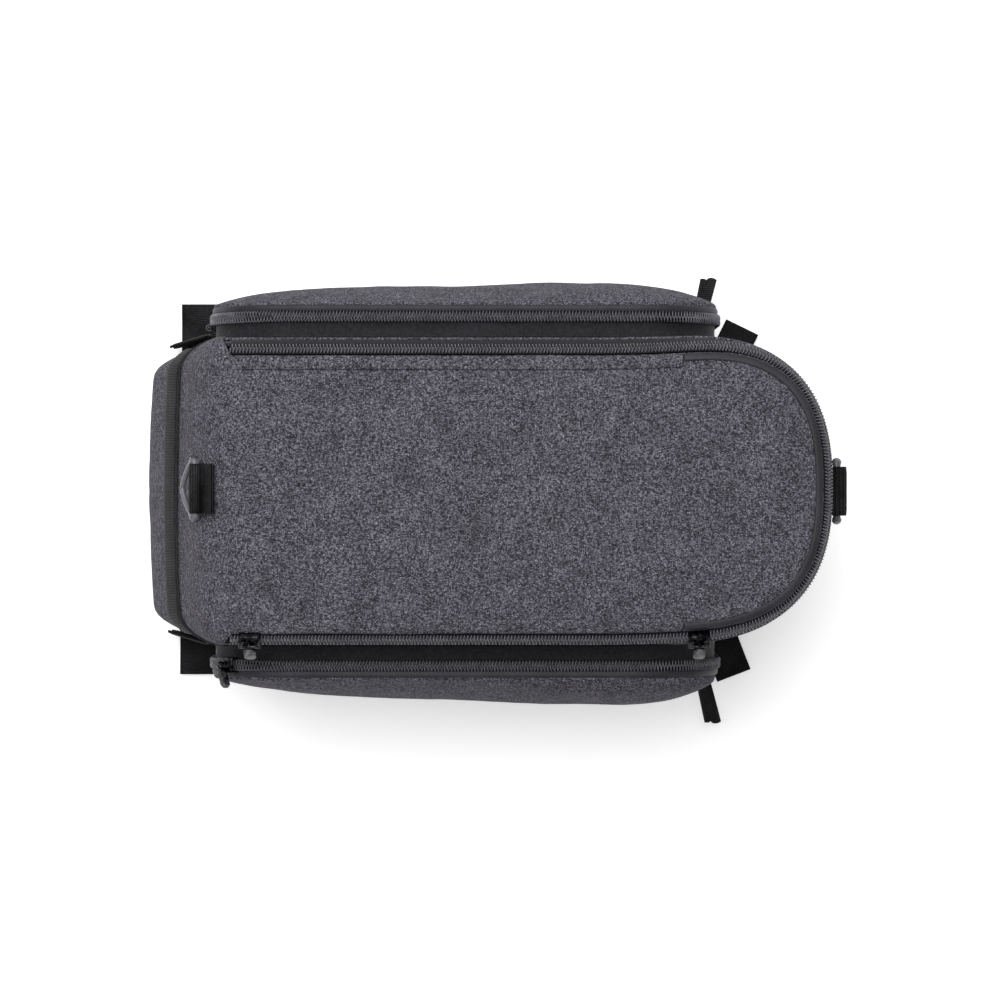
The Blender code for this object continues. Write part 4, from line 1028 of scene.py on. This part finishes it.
# Share of the width from -1 to 1, depth of the nick in the cut end
STAY_NICKS = ((-1.0, 0.0002), (-0.5, 0.0003), (-0.25, 0.0015), (0.0, 0.0001), (0.5, 0.0), (1.0, 0.0012))
STAY_SAG = ((0.0, 0.0), (0.4, 0.0005), (0.75, 0.0002), (1.0, -0.0012))
drop = math.asin((POCKET_BOTTOM + POCKET_BOTTOM_RADIUS - STAY_STRAP_HEIGHT) / POCKET_BOTTOM_RADIUS)
stay_reach = POCKET_BOTTOM_RADIUS + 0.0005 + 2 * GAP + STAY_STRAP_THICKNESS / 2
stay_face = Vector((math.cos(drop), 0.0, -math.sin(drop)))
for side_name, side in (("left", 1), ("right", -1)):
    root = Vector((POCKET_FRONT - POCKET_BOTTOM_RADIUS, side * (BAND_EDGE + COVER_EDGE) / 2,
                   POCKET_BOTTOM + POCKET_BOTTOM_RADIUS)) + stay_face * stay_reach
    out = Vector((math.sin(STAY_STRAP_LEAN), side * math.cos(STAY_STRAP_LEAN), 0.0))

    def stay_place(share, across):
        sag = Vector((0.0, 0.0, smooth_table(STAY_SAG, share)[0]))
        turned = drop + STAY_TWIST * share
        wide = Vector((math.sin(turned), 0.0, math.cos(turned)))
        face = Vector((math.cos(turned), 0.0, -math.sin(turned)))
        reach = share * length - share ** 12 * smooth_table(STAY_NICKS, across)[0]
        return root + out * reach + wide * across * STAY_STRAP_WIDTH / 2 + sag, face

    length = STAY_STRAP_LENGTHS[side_name]
    stay = webbing("stay_strap_woven_" + side_name, stay_place, length, STAY_STRAP_THICKNESS, *STRAP_RIB)
    fit(stay, webbing_yarn, "stay_strap_" + side_name)

# Rings: moulded acetal rings, thicker at their corners, each held by a folded loop of webbing.
RING_WEBBING_WIDTH, RING_WIRE, RING_HEIGHT, TAB_THICKNESS, TAB_TAIL = 0.025, 0.0017, 0.0115, 0.0013, 0.008
# Slimmer arms and swollen corners of the wire, reach of a corner's swelling
RING_SLIM, RING_LUMP, RING_LUMP_REACH = 0.0003, 0.0011, 0.0026
# Play of the webbing beside the wire and round it
RING_SIDE_PLAY, RING_LOOP_PLAY = 0.0008, 0.0005
TAB_RIB = (0.0011, 0.00012)
acetal, acetal_shader = new_finish("black moulded acetal")
place = add_node(acetal, "TexCoord", None, "Object")
grain = add_node(acetal, "TexNoise", {"Vector": place, "Scale": 900.0, "Detail": 3.0})
# Painted highlight: the black acetal is coloured mid grey, lighter at random, standing in for the strong
# overhead light on its glossy faces
tone = add_node(acetal, "Mix", {0: grain, 6: shade("#3a3a40"), 7: shade("#74747b")}, 2, data_type="RGBA")
bump = add_node(acetal, "Bump", {"Height": grain, "Strength": 0.15, "Distance": 0.0001})
set_inputs(acetal_shader, {"Base Color": tone, "Normal": bump, "Roughness": 0.36, "IOR": 1.48})

# Power of the arms' curve: 1 is round, 2 is straight
RING_ARMS = 1.45
# Name, hinge axis, direction of the ring, width of the loop's outer fold
for ring_name, centre, down, fold_reach in (
        ("rear_ring", Vector((-0.153481, 0.0013, 0.180346)), Vector((-0.643, 0.0, -0.766)), 1.0),
        ("nose_ring", Vector((0.1718, 0.0, 0.1605)), Vector((0.0, 0.0, -1.0)), 1.6)):
    away = Vector((down.z, 0.0, -down.x)) if ring_name == "rear_ring" else Vector((1.0, 0.0, 0.0))
    bar_half = RING_WEBBING_WIDTH / 2 + RING_SIDE_PLAY + RING_WIRE
    points = [(bar_half * (k / 4 - 1), 0.0) for k in range(9)]
    radii = []
    for k in range(1, 24):
        angle = math.pi * k / 24
        c = math.cos(angle)
        arm = math.copysign(abs(c) ** RING_ARMS, c)
        points.append((bar_half * arm, RING_HEIGHT * math.sin(angle) ** RING_ARMS))
    for across, drop_down in points:
        to_corner = min(math.hypot(across - s * bar_half, drop_down - RING_SIDE_PLAY) for s in (1, -1))
        swelling = math.exp(-(to_corner / RING_LUMP_REACH) ** 2)
        radii.append(RING_WIRE - RING_SLIM + RING_LUMP * swelling)
    path = [centre + Vector((0.0, a, 0.0)) + down * d for a, d in points]
    ring = tube_along(ring_name + "_moulded", path, radii, sides=12, closed=True)
    fit(ring, acetal, ring_name, body=ring_name + "_body")

    inner = RING_WIRE + RING_LOOP_PLAY
    outer = inner + TAB_THICKNESS
    middle_radius = (inner + outer) / 2
    loop_path = [(-outer + TAB_THICKNESS / 2, outer + TAB_TAIL * (1 - k / 6)) for k in range(6)]
    end_turn = 2 * math.pi + math.acos((1.5 * TAB_THICKNESS - outer) / middle_radius)
    turns = [math.pi + (end_turn - math.pi) * k / 22 for k in range(23)]
    loop_path += [(middle_radius * math.cos(t), middle_radius * math.sin(t)) for t in turns]
    tail_start = loop_path[-1][1]
    tail_run = outer + TAB_TAIL - tail_start
    loop_path += [(-outer + 1.5 * TAB_THICKNESS, tail_start + tail_run * k / 6) for k in range(1, 7)]
    loop = resample([Vector((a, 0.0, b)) for a, b in loop_path], 0.0004)
    loop_length = sum((q - p).length for p, q in zip(loop, loop[1:]))

    def tab_place(share, across):
        i = min(int(share * (len(loop) - 1)), len(loop) - 2)
        spot = loop[i].lerp(loop[i + 1], share * (len(loop) - 1) - i)
        j = min(max(i, 1), len(loop) - 3)
        run = (loop[j + 2] - loop[j - 1]).normalized()
        face = Vector((run.z, 0.0, -run.x))
        outwards = spot.x * (fold_reach if spot.x > 0.0 else 1.0)
        aside = Vector((0.0, across * RING_WEBBING_WIDTH / 2, 0.0))
        return centre + away * outwards - down * spot.z + aside, away * face.x - down * face.z

    tab = webbing(ring_name + "_loop", tab_place, loop_length, TAB_THICKNESS - 0.0001, *TAB_RIB)
    fit(tab, webbing_yarn, ring_name + "_tab")
